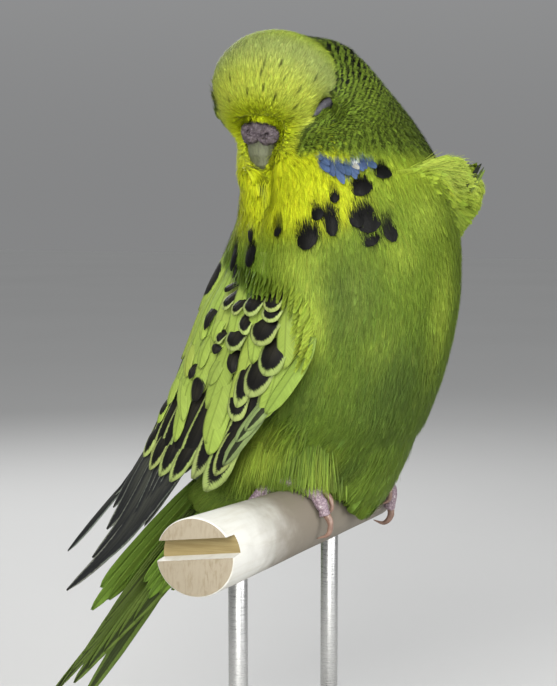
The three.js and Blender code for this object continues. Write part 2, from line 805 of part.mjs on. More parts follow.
function meshOf(name, shape) {
  const [color, roughness] = FINISHES[name];
  const made = shape.getMesh();
  const geometry = new THREE.BufferGeometry();
  geometry.setAttribute("position", new THREE.BufferAttribute(made.vertProperties, 3));
  geometry.setIndex(new THREE.BufferAttribute(made.triVerts, 1));
  geometry.computeVertexNormals();
  const metalness = name.startsWith("stand_rod") ? 0.9 : 0;
  const mesh = new THREE.Mesh(geometry, new THREE.MeshStandardMaterial({ color, roughness, metalness }));
  mesh.name = name;
  return mesh;
}

const group = new THREE.Group();
for (const [name, shape] of Object.entries(buildPieces())) group.add(meshOf(name, shape));

export default group;
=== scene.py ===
# %% [markdown]
# A life-size model of a budgerigar asleep on a short perch, as a museum would show it.
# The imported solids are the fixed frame: they say where every piece is. Here the bird gets its skin,
# its coat of small feathers, its wing and tail feathers one by one, and the finish of every surface.

# %% The frame
import math

import bmesh
import bpy
import numpy as np
from mathutils import Matrix, Vector, noise
from mathutils.bvhtree import BVHTree


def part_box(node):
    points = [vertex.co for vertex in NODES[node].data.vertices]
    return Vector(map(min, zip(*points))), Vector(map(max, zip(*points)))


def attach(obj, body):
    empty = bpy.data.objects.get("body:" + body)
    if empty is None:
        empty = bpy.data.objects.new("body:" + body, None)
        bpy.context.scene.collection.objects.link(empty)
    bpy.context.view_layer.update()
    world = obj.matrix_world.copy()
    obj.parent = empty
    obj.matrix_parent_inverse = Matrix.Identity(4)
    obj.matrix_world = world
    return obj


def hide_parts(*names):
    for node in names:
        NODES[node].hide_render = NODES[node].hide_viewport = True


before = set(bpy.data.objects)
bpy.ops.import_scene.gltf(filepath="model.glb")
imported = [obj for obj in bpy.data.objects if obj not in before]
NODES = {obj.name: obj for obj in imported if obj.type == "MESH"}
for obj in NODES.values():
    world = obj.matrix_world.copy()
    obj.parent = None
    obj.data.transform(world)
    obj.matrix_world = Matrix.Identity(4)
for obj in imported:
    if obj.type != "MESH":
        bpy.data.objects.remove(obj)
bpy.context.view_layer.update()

MM = 0.001  # sizes below are millimetres, and Blender works in metres
RIGHT, LEFT = -1, 1
draw = np.random.default_rng(11)
print("frame:", len(NODES), "nodes")

# %% [markdown]
# The camera stands where the photographer stood: a short telephoto view from the bird's right front,
# a little above the perch. The same numbers also let a mark be placed by its pixel in the photograph.

# %% Camera
PHOTO_WIDTH, PHOTO_HEIGHT = 557, 686
LENS, SENSOR = 75.0, 36.0
CAMERA_AT = np.array((-313.93, -164.42, 152.38))
CAMERA_TILT, CAMERA_TURN = math.radians(84.7), math.radians(-60)


def add_object(name, data):
    made = bpy.data.objects.new(name, data)
    bpy.context.collection.objects.link(made)
    return made


camera_data = bpy.data.cameras.new("camera")
camera_data.lens = LENS
camera_data.sensor_width = SENSOR
camera = add_object("camera", camera_data)
camera.location = Vector(CAMERA_AT) * MM
camera.rotation_euler = (CAMERA_TILT, 0, CAMERA_TURN)
bpy.context.scene.camera = camera

FOCAL = LENS * PHOTO_HEIGHT / SENSOR
camera_turn = np.array(camera.rotation_euler.to_matrix())
CAMERA_RIGHT, CAMERA_UP, CAMERA_VIEW = camera_turn[:, 0], camera_turn[:, 1], -camera_turn[:, 2]


def photo_ray(px, py):
    """The direction in which the camera sees a pixel of the photograph."""
    across = (px - PHOTO_WIDTH / 2) / FOCAL
    up = (PHOTO_HEIGHT / 2 - py) / FOCAL
    ray = CAMERA_VIEW + across * CAMERA_RIGHT + up * CAMERA_UP
    return ray / np.linalg.norm(ray)


print("camera: focal length", round(FOCAL), "px")

# %% [markdown]
# Soft studio light: one large key light from the upper left, a fill from the right, a low light that
# opens the shade under the breast, a light from behind that parts the head from the backdrop, and a
# pale floor that throws light up from below.

# %% Light and floor
LIGHTS = [
    # name, place, width in millimetres, watts, colour
    ("key light", (-500, -120, 400), 420, 3.9, (1.0, 0.99, 0.96)),
    ("fill light", (-60, -600, 300), 420, 3.0, (0.97, 0.98, 1.0)),
    ("low light", (-420, -280, 90), 420, 1.3, (1.0, 1.0, 0.98)),
    ("back light", (300, 380, 420), 320, 1.5, (1.0, 1.0, 1.0)),
]
LIGHT_AIM = Vector((0, 0, 110)) * MM

for name, place, size, watts, colour in LIGHTS:
    light = bpy.data.lights.new(name, "AREA")
    light.shape = "DISK"
    light.size = size * MM
    light.energy = watts
    light.color = colour
    lamp = add_object(name, light)
    lamp.location = Vector(place) * MM
    lamp.rotation_euler = (lamp.location - LIGHT_AIM).to_track_quat("Z", "Y").to_euler()

world = bpy.data.worlds.new("pale room")
world.use_nodes = True
bpy.context.scene.world = world
bpy.context.scene.view_settings.view_transform = "Standard"


def srgb(red, green, blue):
    """A screen colour (0 to 255) as the linear colour that Blender works with."""
    value = np.array((red, green, blue), float) / 255
    return np.where(value <= 0.04045, value / 12.92, ((value + 0.055) / 1.055) ** 2.4)


# %% [markdown]
# Materials are built from nodes. A few small helpers keep the node trees readable: one feeds a socket
# from a number or from another socket, and each of the others adds one node to the tree of its inputs.

# %% Node helpers
def tree_of(*sources):
    """The node tree that the sockets among the sources belong to."""
    return next(source.id_data for source in sources if isinstance(source, bpy.types.NodeSocket))


def feed(socket, source):
    if isinstance(source, bpy.types.NodeSocket):
        socket.id_data.links.new(source, socket)
    elif source is not None:
        if isinstance(source, (tuple, list, np.ndarray)) and len(source) == 3 and socket.type == "RGBA":
            source = (*source, 1)
        socket.default_value = source


def sums(operation):
    """A function that adds one sum of this kind."""

    def add_sum(*sources):
        made = tree_of(*sources).nodes.new("ShaderNodeMath")
        made.operation = operation
        for socket, source in zip(made.inputs, sources):
            feed(socket, source)
        return made.outputs[0]

    return add_sum


plus, minus, times, divided = sums("ADD"), sums("SUBTRACT"), sums("MULTIPLY"), sums("DIVIDE")
floored, fraction, unsigned = sums("FLOOR"), sums("FRACT"), sums("ABSOLUTE")
raised, sine, times_plus = sums("POWER"), sums("SINE"), sums("MULTIPLY_ADD")


def vector_node(operation, a, b=None, scale=None):
    made = tree_of(a, b).nodes.new("ShaderNodeVectorMath")
    made.operation = operation
    feed(made.inputs[0], a)
    feed(made.inputs[1], b)
    if scale is not None:
        feed(made.inputs["Scale"], scale)
    return made.outputs["Vector"]


def step_node(value, low, high, to_low=0.0, to_high=1.0):
    """A smooth change from to_low to to_high as the value goes from low to high."""
    made = tree_of(value).nodes.new("ShaderNodeMapRange")
    made.interpolation_type = "SMOOTHSTEP"
    for socket, source in zip(made.inputs, (value, low, high, to_low, to_high)):
        feed(socket, source)
    return made.outputs["Result"]


def mix_node(share, a, b, blend="MIX"):
    made = tree_of(share, a, b).nodes.new("ShaderNodeMix")
    made.data_type = "RGBA"
    made.blend_type = blend
    feed(made.inputs["Factor"], share)
    feed(made.inputs[6], a)
    feed(made.inputs[7], b)
    return made.outputs[2]


def dimmed(colour, light):
    """A colour times a grey light."""
    return mix_node(1.0, colour, join_axes(light, light, light), "MULTIPLY")


def noise_node(vector, scale, detail=3.0, roughness=0.55, distortion=0.0):
    made = tree_of(vector).nodes.new("ShaderNodeTexNoise")
    feed(made.inputs["Vector"], vector)
    made.inputs["Scale"].default_value = scale
    made.inputs["Detail"].default_value = detail
    made.inputs["Roughness"].default_value = roughness
    made.inputs["Distortion"].default_value = distortion
    return made.outputs["Fac"]


def axes_node(vector):
    made = tree_of(vector).nodes.new("ShaderNodeSeparateXYZ")
    feed(made.inputs[0], vector)
    return made.outputs


def join_axes(x, y, z):
    made = tree_of(x, y, z).nodes.new("ShaderNodeCombineXYZ")
    for socket, source in zip(made.inputs, (x, y, z)):
        feed(socket, source)
    return made.outputs[0]


def bump_node(height, strength, distance):
    made = tree_of(height).nodes.new("ShaderNodeBump")
    made.inputs["Strength"].default_value = strength
    made.inputs["Distance"].default_value = distance
    feed(made.inputs["Height"], height)
    return made.outputs["Normal"]


def attribute_node(tree, name, output):
    made = tree.nodes.new("ShaderNodeAttribute")
    made.attribute_name = name
    return made.outputs[output]


def uv_node(tree, name):
    made = tree.nodes.new("ShaderNodeUVMap")
    made.uv_map = name
    return made.outputs[0]


def place_node(tree):
    return tree.nodes.new("ShaderNodeTexCoord").outputs["Object"]


def group(name, inputs, outputs):
    """An empty node group with its named sockets: (name, kind, default) in, (name, kind) out."""
    tree = bpy.data.node_groups.new(name, "ShaderNodeTree")
    for label, kind, default in inputs:
        socket = tree.interface.new_socket(label, in_out="INPUT", socket_type="NodeSocket" + kind)
        if default is not None:
            socket.default_value = default
    for label, kind in outputs:
        tree.interface.new_socket(label, in_out="OUTPUT", socket_type="NodeSocket" + kind)
    return tree, tree.nodes.new("NodeGroupInput").outputs, tree.nodes.new("NodeGroupOutput").inputs


def place_group(tree, inner, **sources):
    made = tree.nodes.new("ShaderNodeGroup")
    made.node_tree = inner
    for name, source in sources.items():
        feed(made.inputs[name.replace("_", " ")], source)
    return made.outputs


def material(name, roughness=0.6, **shader_values):
    """A new material: its tree and its Principled BSDF, with fixed values set on the shader itself."""
    made = bpy.data.materials.new(name)
    made.use_nodes = True
    shader = made.node_tree.nodes["Principled BSDF"]
    shader.inputs["Roughness"].default_value = roughness
    for key, value in shader_values.items():
        shader.inputs[key.replace("_", " ")].default_value = value
    return made, made.node_tree, shader


# %% [markdown]
# The room's own light rises from the tone of the floor at the horizon to a paler grey overhead, so
# that no line shows where the floor ends.

# %% Room
HORIZON, OVERHEAD = (0.235, 0.237, 0.24), (0.42, 0.425, 0.43)
room = world.node_tree
up_share = axes_node(room.nodes.new("ShaderNodeTexCoord").outputs["Generated"])[2]
room_tone = mix_node(step_node(up_share, 0.0, 0.5), HORIZON, OVERHEAD)
feed(room.nodes["Background"].inputs["Color"], room_tone)

# %% [markdown]
# A plain floor carries the stand. It is only a stage for the light, not part of the model.

# %% Floor
floor_bm = bmesh.new()
bmesh.ops.create_grid(floor_bm, x_segments=1, y_segments=1, size=4.0)
floor_mesh = bpy.data.meshes.new("floor")
floor_bm.to_mesh(floor_mesh)
floor_bm.free()
floor = add_object("floor", floor_mesh)
floor_paint, floor_tree, floor_shader = material("pale floor", 0.85)
floor_grain = noise_node(place_node(floor_tree), 3.0, 4)
floor_colour = mix_node(floor_grain, (0.52, 0.52, 0.515), (0.57, 0.57, 0.565))
feed(floor_shader.inputs["Base Color"], floor_colour)
floor_mesh.materials.append(floor_paint)

# %% [markdown]
# The bird's own directions are the same named values that the solids were made from: a middle line
# through the trunk, the turned and tipped head, and three guide lines for each wing.

# %% The bird's own shape
SPINE = np.array([
    # x, y, z, half width, half depth
    (-4.4, 55, 51, 4.5, 0.8),
    (-0.6, 39.5, 71, 9, 7.5),
    (0, 28.4, 83.6, 14.5, 13.5),
    (0, 12.2, 95.4, 21.5, 21.5),
    (0, 2.4, 108.2, 26, 25.8),
    (0, -2.2, 121.6, 27, 26.5),
    (0, -4.9, 135.3, 27, 26.5),
    (0, -4, 150, 26, 26),
    (-0.5, -1, 160, 24.2, 24.5),
    (1.5, 1.8, 170, 19.8, 20.3),
    (2.8, 3.4, 179, 14.4, 14.8),
    (1.4, 5, 187, 9.8, 10.4),
    (-2.5, 8, 194.5, 1.5, 1.5),
])
HEAD_CENTRE = np.array((-12.3, 10.6, 181.3))
HEAD_FORWARD = np.array((-0.749, -0.122, -0.651))
HEAD_LEFT = np.array((0.234, -0.968, -0.088))
HEAD_CROWN = np.array((-0.62, -0.219, 0.753))
HEAD_CUT_AT = np.array((-5, 6, 171.5))
HEAD_CUT_TOWARDS = np.array((-0.35, 0.25, 0.9))


def head_point(forward, left, crown):
    return HEAD_CENTRE + forward * HEAD_FORWARD + left * HEAD_LEFT + crown * HEAD_CROWN


def head_places(points):
    """Each point as its distances forward, left and up from the head's centre."""
    offset = np.asarray(points) - HEAD_CENTRE
    return offset @ HEAD_FORWARD, offset @ HEAD_LEFT, offset @ HEAD_CROWN


BEAK_BASE = head_point(13, 0, -2)
EYES = {side: head_point(5.4, side * 13.3, -0.6) for side in (RIGHT, LEFT)}


def ease(value, low, high):
    """A smooth rise from 0 at low to 1 at high, or a fall where low is above high."""
    t = np.clip((np.asarray(value, float) - low) / (high - low), 0, 1)
    return t * t * (3 - 2 * t)


def mix(a, b, t):
    return a + (b - a) * t


def unit(vectors):
    return vectors / np.maximum(np.linalg.norm(vectors, axis=-1, keepdims=True), 1e-9)


def spine_at(z):
    return np.stack([np.interp(z, SPINE[:, 2], SPINE[:, k]) for k in (0, 1)], -1)


def curve_at(points, t):
    """A smooth line through points, at each t from 0 to 1 (Catmull-Rom, as in the solids)."""
    points = np.asarray(points, float)
    padded = np.vstack([2 * points[0] - points[1], points, 2 * points[-1] - points[-2]])
    place = np.clip(t, 0, 1) * (len(points) - 1)
    k = np.minimum(place.astype(int), len(points) - 2)
    w = (place - k)[..., None]
    a, b, c, d = padded[k], padded[k + 1], padded[k + 2], padded[k + 3]
    before, after = (c - a) / 2, (d - b) / 2
    return b + before * w + (3 * (c - b) - 2 * before - after) * w**2 + (2 * (b - c) + before + after) * w**3


# %% [markdown]
# One skin runs under the whole coat. The flesh of torso, neck, head and the tops of both wings is
# grown a little so that the thin cuts close, wrapped in one fine even net (a voxel remesh), smoothed,
# and sunk by the depth of the coat, so that the feather tips end where the solids end.

# %% Skin
FLESH = ("torso", "neck", "head")
WING_TOP_LEVEL = 118.0  # below this the wing is all long feathers
CLOSE_CUTS = 0.28  # how far each part is grown
SKIN_VOXEL = 0.8
COAT_DEPTH_BODY, COAT_DEPTH_HEAD = 1.7, 1.1


def node_copy(name):
    """A welded copy of a CAD node, as a bmesh in metres."""
    copy = bmesh.new()
    copy.from_mesh(NODES[name].data)
    bmesh.ops.remove_doubles(copy, verts=copy.verts, dist=1e-6)
    return copy


def shade_smooth(mesh):
    mesh.polygons.foreach_set("use_smooth", np.ones(len(mesh.polygons), bool))


def new_object(name, bm, smooth=True):
    mesh = bpy.data.meshes.new(name)
    bm.to_mesh(mesh)
    bm.free()
    if smooth:
        shade_smooth(mesh)
    return add_object(name, mesh)


def applied(obj):
    """The object's mesh with its modifiers worked in, so that none is left on it."""
    bpy.context.view_layer.update()
    seen = obj.evaluated_get(bpy.context.evaluated_depsgraph_get())
    mesh = bpy.data.meshes.new_from_object(seen)
    obj.modifiers.clear()
    old = obj.data
    obj.data = mesh
    bpy.data.meshes.remove(old)
    shade_smooth(mesh)
    return obj


def remeshed(obj, voxel):
    wrap = obj.modifiers.new("even net", "REMESH")
    wrap.mode = "VOXEL"
    wrap.voxel_size = voxel * MM
    wrap.use_smooth_shade = True
    return applied(obj)


def smoothed(obj, rounds):
    bm = bmesh.new()
    bm.from_mesh(obj.data)
    all_axes = {"use_axis_x": True, "use_axis_y": True, "use_axis_z": True}
    for _ in range(rounds):
        bmesh.ops.smooth_vert(bm, verts=bm.verts, factor=0.5, **all_axes)
    bm.normal_update()
    bm.to_mesh(obj.data)
    bm.free()
    return obj


def read_vectors(mesh, what):
    flat = np.zeros(len(mesh.vertices) * 3, np.float32)
    mesh.vertices.foreach_get(what, flat)
    return flat.reshape(-1, 3).astype(float)


def coordinates(mesh):
    return read_vectors(mesh, "co") / MM


def normals(mesh):
    return read_vectors(mesh, "normal")


def set_coordinates(mesh, points):
    mesh.vertices.foreach_set("co", (np.asarray(points) * MM).astype(np.float32).ravel())
    mesh.update()


def cut_below(part, level):
    """Cuts off what lies below a level and closes the cut."""
    everything = list(part.verts) + list(part.edges) + list(part.faces)
    plane = {"plane_co": Vector((0, 0, level * MM)), "plane_no": (0, 0, -1)}
    section = bmesh.ops.bisect_plane(part, geom=everything, clear_outer=True, **plane)
    open_edges = [e for e in section["geom_cut"] if isinstance(e, bmesh.types.BMEdge)]
    bmesh.ops.holes_fill(part, edges=open_edges, sides=0)
    bmesh.ops.triangulate(part, faces=part.faces)


flesh = bmesh.new()
for name in (*FLESH, "wing_right", "wing_left"):
    part = node_copy(name)
    if name not in FLESH:
        cut_below(part, WING_TOP_LEVEL)
    for vertex in part.verts:
        vertex.co += vertex.normal * CLOSE_CUTS * MM
    part_mesh = bpy.data.meshes.new("part")
    part.to_mesh(part_mesh)
    part.free()
    flesh.from_mesh(part_mesh)

skin = smoothed(remeshed(new_object("skin", flesh), SKIN_VOXEL), 14)
print("closed skin:", len(skin.data.vertices), "points")

# %% [markdown]
# The beak lies between the throat feathers, so the sunk skin is drawn in along a groove below the
# cere, and pressed back where it would stand in front of the beak's tip.

# %% Depth of the coat and groove of the throat
GROOVE_LINE = [(-21.5, 9.6, 167.0), (-21.4, 8.9, 161.0), (-22.0, 7.6, 154.0), (-23.5, 5.6, 147.0)]
GROOVE_STEPS = np.linspace(0, 1, 14)
GROOVE = curve_at(GROOVE_LINE, GROOVE_STEPS)
GROOVE_DEPTH = np.interp(GROOVE_STEPS, (0, 0.25, 0.6, 1), (3.0, 5.6, 3.6, 0.4))
GROOVE_HALF = 3.0
BEAK_TIP = np.array((-20.0, 9.8, 163.6))
BEAK_FRONT, BEAK_ACROSS = np.array((-0.86, -0.5, 0.0)), np.array((0.5, -0.86, 0.0))
PRESS_BEHIND, PRESS_MOST, PRESS_HALF = 1.5, 8, 2.5  # how far behind the tip, how much at most, how wide

skin_points = coordinates(skin.data)
from_head = np.linalg.norm(skin_points - HEAD_CENTRE, axis=1)
skin_depth = mix(COAT_DEPTH_HEAD, COAT_DEPTH_BODY, ease(from_head, 17, 30))
from_groove = np.linalg.norm(skin_points[:, None] - GROOVE[None], axis=2)
groove_depth = GROOVE_DEPTH[from_groove.argmin(1)] * np.exp(-((from_groove.min(1) / GROOVE_HALF) ** 2))
drawn_in = skin_points - normals(skin.data) * (skin_depth + CLOSE_CUTS + groove_depth)[:, None]
from_tip = drawn_in - BEAK_TIP
proud = np.clip(from_tip @ BEAK_FRONT + PRESS_BEHIND, 0, PRESS_MOST)
proud = proud * np.exp(-((from_tip @ BEAK_ACROSS / PRESS_HALF) ** 4))
proud *= ease(drawn_in[:, 2], 156, 160.5) * ease(drawn_in[:, 2], 171, 167)
set_coordinates(skin.data, drawn_in - proud[:, None] * BEAK_FRONT)
smoothed(skin, 2)
skin_points, skin_normals = coordinates(skin.data), normals(skin.data)
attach(skin, "root")
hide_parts(*FLESH)
skin.data.calc_loop_triangles()
triangle_flat = np.zeros(len(skin.data.loop_triangles) * 3, np.int32)
skin.data.loop_triangles.foreach_get("vertices", triangle_flat)
skin_triangles = triangle_flat.reshape(-1, 3)
skin_tree = BVHTree.FromPolygons(skin_points.tolist(), skin_triangles.tolist())
print("skin:", len(skin_points), "points,", len(skin_triangles), "triangles")


def nearest_on_skin(points):
    """For each point, the nearest point of the skin and the skin's normal there."""
    found = np.zeros((len(points), 3))
    facing = np.zeros((len(points), 3))
    for i, point in enumerate(points):
        place, normal, _, _ = skin_tree.find_nearest(point)
        found[i] = place
        facing[i] = normal
    return found, facing


def seen_on(surface, px, py):
    """The place on a surface, and its normal, that the camera sees at a pixel of the photograph.
    A ray that passes just beside the surface takes the place that it passes nearest to."""
    ray = photo_ray(px, py)
    place, normal, _, _ = surface.ray_cast(Vector(CAMERA_AT), Vector(ray))
    if place is None:
        beside = [surface.find_nearest(CAMERA_AT + ray * depth) for depth in np.arange(290, 430, 2.0)]
        place, normal, _, _ = min(beside, key=lambda found: found[3])
    return np.array(place), np.array(normal)


def seen_on_skin(px, py):
    return seen_on(skin_tree, px, py)


# %% [markdown]
# Feathers all lie along the flow of the coat. On the face they fan out from the cere, and from there
# the flow runs over the crown and down the nape, the breast and the back to the root of the tail.

# %% Flow of the coat
def flow(points, facing):
    """The direction in which the feathers lie at each point of the skin."""
    z = points[:, 2]
    down = -unit(np.concatenate([spine_at(z + 3) - spine_at(z - 3), np.full((len(z), 1), 6.0)], 1))
    fan = unit(points - BEAK_BASE)
    offset = points - HEAD_CENTRE
    distance = np.linalg.norm(offset, axis=1)
    backwards = -(offset @ HEAD_FORWARD) / np.maximum(distance, 1e-6)
    below = ease(distance, 17, 27)
    body_share = np.maximum(ease(backwards, -0.05, 0.75), below)
    direction = mix(fan, down, body_share[:, None])
    direction -= facing * np.sum(direction * facing, 1, keepdims=True)
    return unit(direction)


# %% [markdown]
# The same unwrap serves the skin and every feather on it: the trunk is unrolled round its middle line
# and the head round its own crown. A feather's whole patch lies at its root's place on that unwrap.

# %% Unwrap
TRUNK_LOW, TRUNK_HIGH = 45.0, 178.0
TRUNK_SHARE = 0.7  # the part of the map's height that the trunk takes
ROUND_SHARE = 0.94
MARGIN = 0.01
PATCH = 0.003  # the width of one feather's patch


def unwrap(points):
    z = points[:, 2]
    offset = points[:, :2] - spine_at(z)
    round_trunk = np.arctan2(offset[:, 0], -offset[:, 1]) / (2 * math.pi)
    up_trunk = MARGIN + (TRUNK_SHARE - 0.03) * (z - TRUNK_LOW) / (TRUNK_HIGH - TRUNK_LOW)
    trunk = np.stack([0.5 + ROUND_SHARE * round_trunk, up_trunk], 1)
    forward, left, crown = head_places(points)
    round_head = np.arctan2(left, forward) / (2 * math.pi)
    rise = np.arctan2(crown, np.hypot(forward, left)) / math.pi
    up_head = TRUNK_SHARE + MARGIN + (1 - TRUNK_SHARE - 0.03) * (0.5 + rise)
    head = np.stack([0.5 + ROUND_SHARE * round_head, up_head], 1)
    on_head = (points - HEAD_CUT_AT) @ HEAD_CUT_TOWARDS > 0
    return np.clip(np.where(on_head[:, None], head, trunk), 0.002, 0.998)


def unwrap_skin(mesh, points):
    uv = unwrap(points)
    corner = np.zeros(len(mesh.loops), np.int32)
    mesh.loops.foreach_get("vertex_index", corner)
    corners = uv[corner]
    starts = np.zeros(len(mesh.polygons), np.int32)
    totals = np.zeros(len(mesh.polygons), np.int32)
    mesh.polygons.foreach_get("loop_start", starts)
    mesh.polygons.foreach_get("loop_total", totals)
    face = np.repeat(np.arange(len(starts)), totals)
    high = np.maximum.reduceat(corners, starts)[face]
    low = np.minimum.reduceat(corners, starts)[face]
    torn = (high - low).max(1) > 0.2
    corners[torn] = high[torn]  # a face that crosses the seam stays on one side of it
    layer = mesh.uv_layers.new(name="OFBake")
    layer.data.foreach_set("uv", corners.astype(np.float32).ravel())


unwrap_skin(skin.data, skin_points)

# %% [markdown]
# The markings are kept as named blots: where each lies in the photograph, its half width and half
# length in millimetres, its colour, and how soft its edge is. A blot lies in the skin's own plane, so
# it holds from every side. The dark patches among them are painted shade, and the pale patches are
# partly paler feathers and partly painted light. Round them the ground colour changes slowly along the body.

# %% Ground colours
FACE = srgb(170, 182, 26)
FOREHEAD = srgb(150, 160, 56)
CROWN = srgb(128, 140, 74)
NECK_GREEN = srgb(138, 156, 44)
NAPE = srgb(96, 116, 36)
BREAST_HIGH = srgb(98, 117, 33)
BREAST = srgb(88, 108, 31)
BELLY = srgb(78, 98, 29)
VENT = srgb(94, 116, 40)
RUMP = srgb(96, 134, 46)
BIB = srgb(166, 174, 26)
INK = srgb(7, 7, 6)
CHEEK_BLUE = srgb(60, 76, 104)
# partly painted light: the colour of the pale patches below, which are partly paler feathers
LIGHT_AND_PALE_GREEN = srgb(164, 182, 66)
# painted shade: the colour of the dark patches below
SHADE_GREEN = srgb(66, 84, 32)

BIB_MIDDLE = (262, 205)  # the groove down the middle of the bib, in the photograph
bib_place = seen_on_skin(*BIB_MIDDLE)[0]
neck_axis = spine_at(bib_place[2:3])[0]
bib_facing = unit(np.array((*(bib_place[:2] - neck_axis), 0.0)))


def across_throat(place):
    """The place on the other side of the throat's middle plane."""
    turn = np.cross(bib_facing, (0, 0, 1))
    return place - 2 * turn * np.dot(place - np.array((*neck_axis, 0.0)), turn)


# where the barred nape begins: over the crown, down behind the eye, and forward under it to the throat
BAR_EDGE_SEEN = [(320, 45), (327, 60), (332, 79), (330, 92)]
BAR_EDGE_FACE = [(10.5, 11.6, -1.2), (13.6, 10.0, -3.0), (17.0, 9.4, -4.5)]
over_crown = [(-9.5, 0.0, 9.8), (-10.3, 4.5, 8.4)]
seen_edge = [head_places(seen_on_skin(*pixel)[0]) for pixel in BAR_EDGE_SEEN]
behind_eye = [(1.0, 13.9, 0.2), (4.5, 13.0, -2.6)]
BAR_EDGE = curve_at(over_crown + seen_edge + behind_eye + BAR_EDGE_FACE, np.linspace(0, 1, 60))
BAR_LIMIT_CROWN = (-4.5, -3.3, -2.4, -1.6, -0.9, 0.5, 2.0, 3.1, 5.2, 7.0)
BAR_LIMIT_FORWARD = (19.0, 18.2, 15.0, 12.0, 9.7, 4.5, 2.3, -1.6, -8.0, -11.5)
FAR_SIDE_BACK = 9  # how much further back the bars begin on the far side of the face


def from_bar_edge(points):
    """How far each point lies behind the edge of the bars: a share (0 in front, 1 behind), millimetres."""
    forward, left, crown = head_places(points)
    limit = np.interp(crown, BAR_LIMIT_CROWN, BAR_LIMIT_FORWARD) - FAR_SIDE_BACK * ease(left, -6, -10)
    side = np.maximum(ease(np.abs(left), 8.6, 10.6), ease(forward, -2, -7))
    behind = ease(forward, limit + 0.9, limit - 0.9) * side
    mirrored = np.stack([forward, np.abs(left), crown], 1)
    distance = np.zeros(len(points))
    near = np.flatnonzero((behind > 0) & (points[:, 2] > 120))
    for part in np.array_split(near, len(near) // 30000 + 1):
        distance[part] = np.sqrt(((mirrored[part, None] - BAR_EDGE[None]) ** 2).sum(2).min(1))
    return behind, distance


def ground(points, behind):
    """The colour of the coat at each point, before its marks."""
    z = points[:, 2:3]
    forward = head_places(points)[0]
    colour = mix(VENT, BELLY, ease(z, 84, 98))
    colour = mix(colour, BREAST, ease(z, 100, 122))
    colour = mix(colour, BREAST_HIGH, ease(z, 126, 150))
    rear = ease(points[:, 1:2] - spine_at(points[:, 2])[:, 1:2], 4, 18)
    colour = mix(colour, RUMP, rear * ease(z, 150, 120))
    colour = mix(colour, NECK_GREEN, ease(z, 150, 166))
    # the yellow bib under the beak, round the side of the throat that faces the way the head does
    offset = np.concatenate([points[:, :2] - spine_at(points[:, 2]), np.zeros_like(z)], 1)
    towards = (unit(offset) @ bib_facing)[:, None]
    bib = ease(towards, 0.18, 0.55) * ease(z, 142 + 7 * ease(towards, 0.8, 0.3), 152) * ease(z, 186, 176)
    colour = mix(colour, BIB, bib)
    # the head: yellow face, paler crown, greener nape
    to_beak = np.linalg.norm(points - BEAK_BASE, axis=1)[:, None]
    offset = points - HEAD_CENTRE
    on_head = ease(np.linalg.norm(offset, axis=1), 21, 17)[:, None] * ease(forward, -9, 0)[:, None]
    face = mix(FACE, FOREHEAD, ease(to_beak, 5.5, 11.5))
    face = mix(face, CROWN, ease(to_beak, 12, 20))
    colour = mix(colour, face, on_head)
    return mix(colour, NAPE, behind[:, None] * ease(z, 160, 167))


# %% [markdown]
# The charts of the marks. A mark is listed by its place in the photograph and its size there. It is
# turned along the flow of the coat, so it runs the way its feathers lie.

# %% Marks
BLOT_SCALE = 1 / 4.1  # millimetres for each pixel, at the bird's distance
BIB_SPOTS = [
    # x, y, width and length in pixels of the photograph, strength
    (310, 234, 24, 27, 1.0), (332, 219, 16, 30, 1.0), (319, 211, 10, 17, 0.9), (283, 226, 11, 22, 0.75),
    (335, 194, 9, 18, 0.6), (360, 186, 18, 20, 1.0), (380, 172, 17, 17, 1.0), (362, 216, 24, 27, 1.0),
    (371, 240, 21, 9, 0.95), (385, 226, 13, 23, 0.95), (241, 254, 9, 30, 1.0), (256, 255, 13, 27, 1.0),
    (256, 236, 6, 13, 0.9), (236, 219, 4, 40, 0.7), (292, 196, 3, 7, 0.5), (389, 214, 5, 7, 0.4),
]
CHEEK_SPOTS = [
    (324, 164, 9, 15, 1.0), (331, 168, 9, 17, 1.0), (339, 170, 9, 18, 1.0), (347, 172, 9, 18, 1.0),
    (354, 168, 8, 16, 1.0), (362, 165, 9, 12, 1.0), (369, 166, 8, 10, 0.9),
]
# painted highlight: a whitish spot where the blue cheek shines
CHEEK_HIGHLIGHT_SPOTS = [(356, 168, 7, 7, 1.0)]
# partly paler feathers, partly painted light: these patches brighten places that lie in shade, such as the
# vent and flank under the wing
LIGHT_AND_PALE_PATCHES = [
    (312, 325, 30, 56, 0.7), (446, 182, 34, 22, 0.5), (325, 470, 40, 40, 0.3), (300, 270, 40, 40, 0.4),
    (425, 215, 40, 36, 0.3), (266, 455, 36, 60, 0.45), (355, 300, 20, 50, 0.25), (436, 320, 30, 90, 0.4),
    (380, 350, 30, 40, 0.2), (400, 255, 30, 30, 0.25),
]
# painted shade: these patches darken the gap between thigh and belly, the groove under the beak and the side
# of the body away from the key light
SHADE_PATCHES = [
    (350, 300, 50, 70, 0.7), (392, 395, 70, 110, 0.95), (345, 470, 24, 40, 0.95), (335, 438, 18, 6, 0.6),
    (360, 350, 60, 60, 0.2), (300, 400, 34, 60, 0.5), (264, 190, 6, 40, 0.45), (271, 222, 7, 36, 0.45),
    (262, 168, 10, 24, 0.4),
]
FLECKS = [
    (265, 66), (262, 74), (281, 65), (264, 88), (232, 100), (216, 105), (298, 90), (313, 79), (295, 105),
    (291, 117), (233, 79), (275, 97), (284, 80), (249, 92),
]


def blots(spots, colour, soft):
    made = []
    for px, py, width, length, strength in spots:
        place, normal = seen_on_skin(px, py)
        along = flow(place[None], normal[None])[0]
        across = np.cross(normal, along)
        half = (width * BLOT_SCALE / 2, length * BLOT_SCALE / 2)
        made.append((place, along, across, half, colour, strength, soft))
    return made


def mirrored_blots(made):
    """The same marks on the far side of the throat, which the photograph doesn't show."""
    result = []
    for place, _, _, *look in made:
        found, facing = nearest_on_skin([across_throat(place)])
        lie = flow(found, facing)[0]
        result.append((found[0], lie, np.cross(facing[0], lie), *look))
    return result


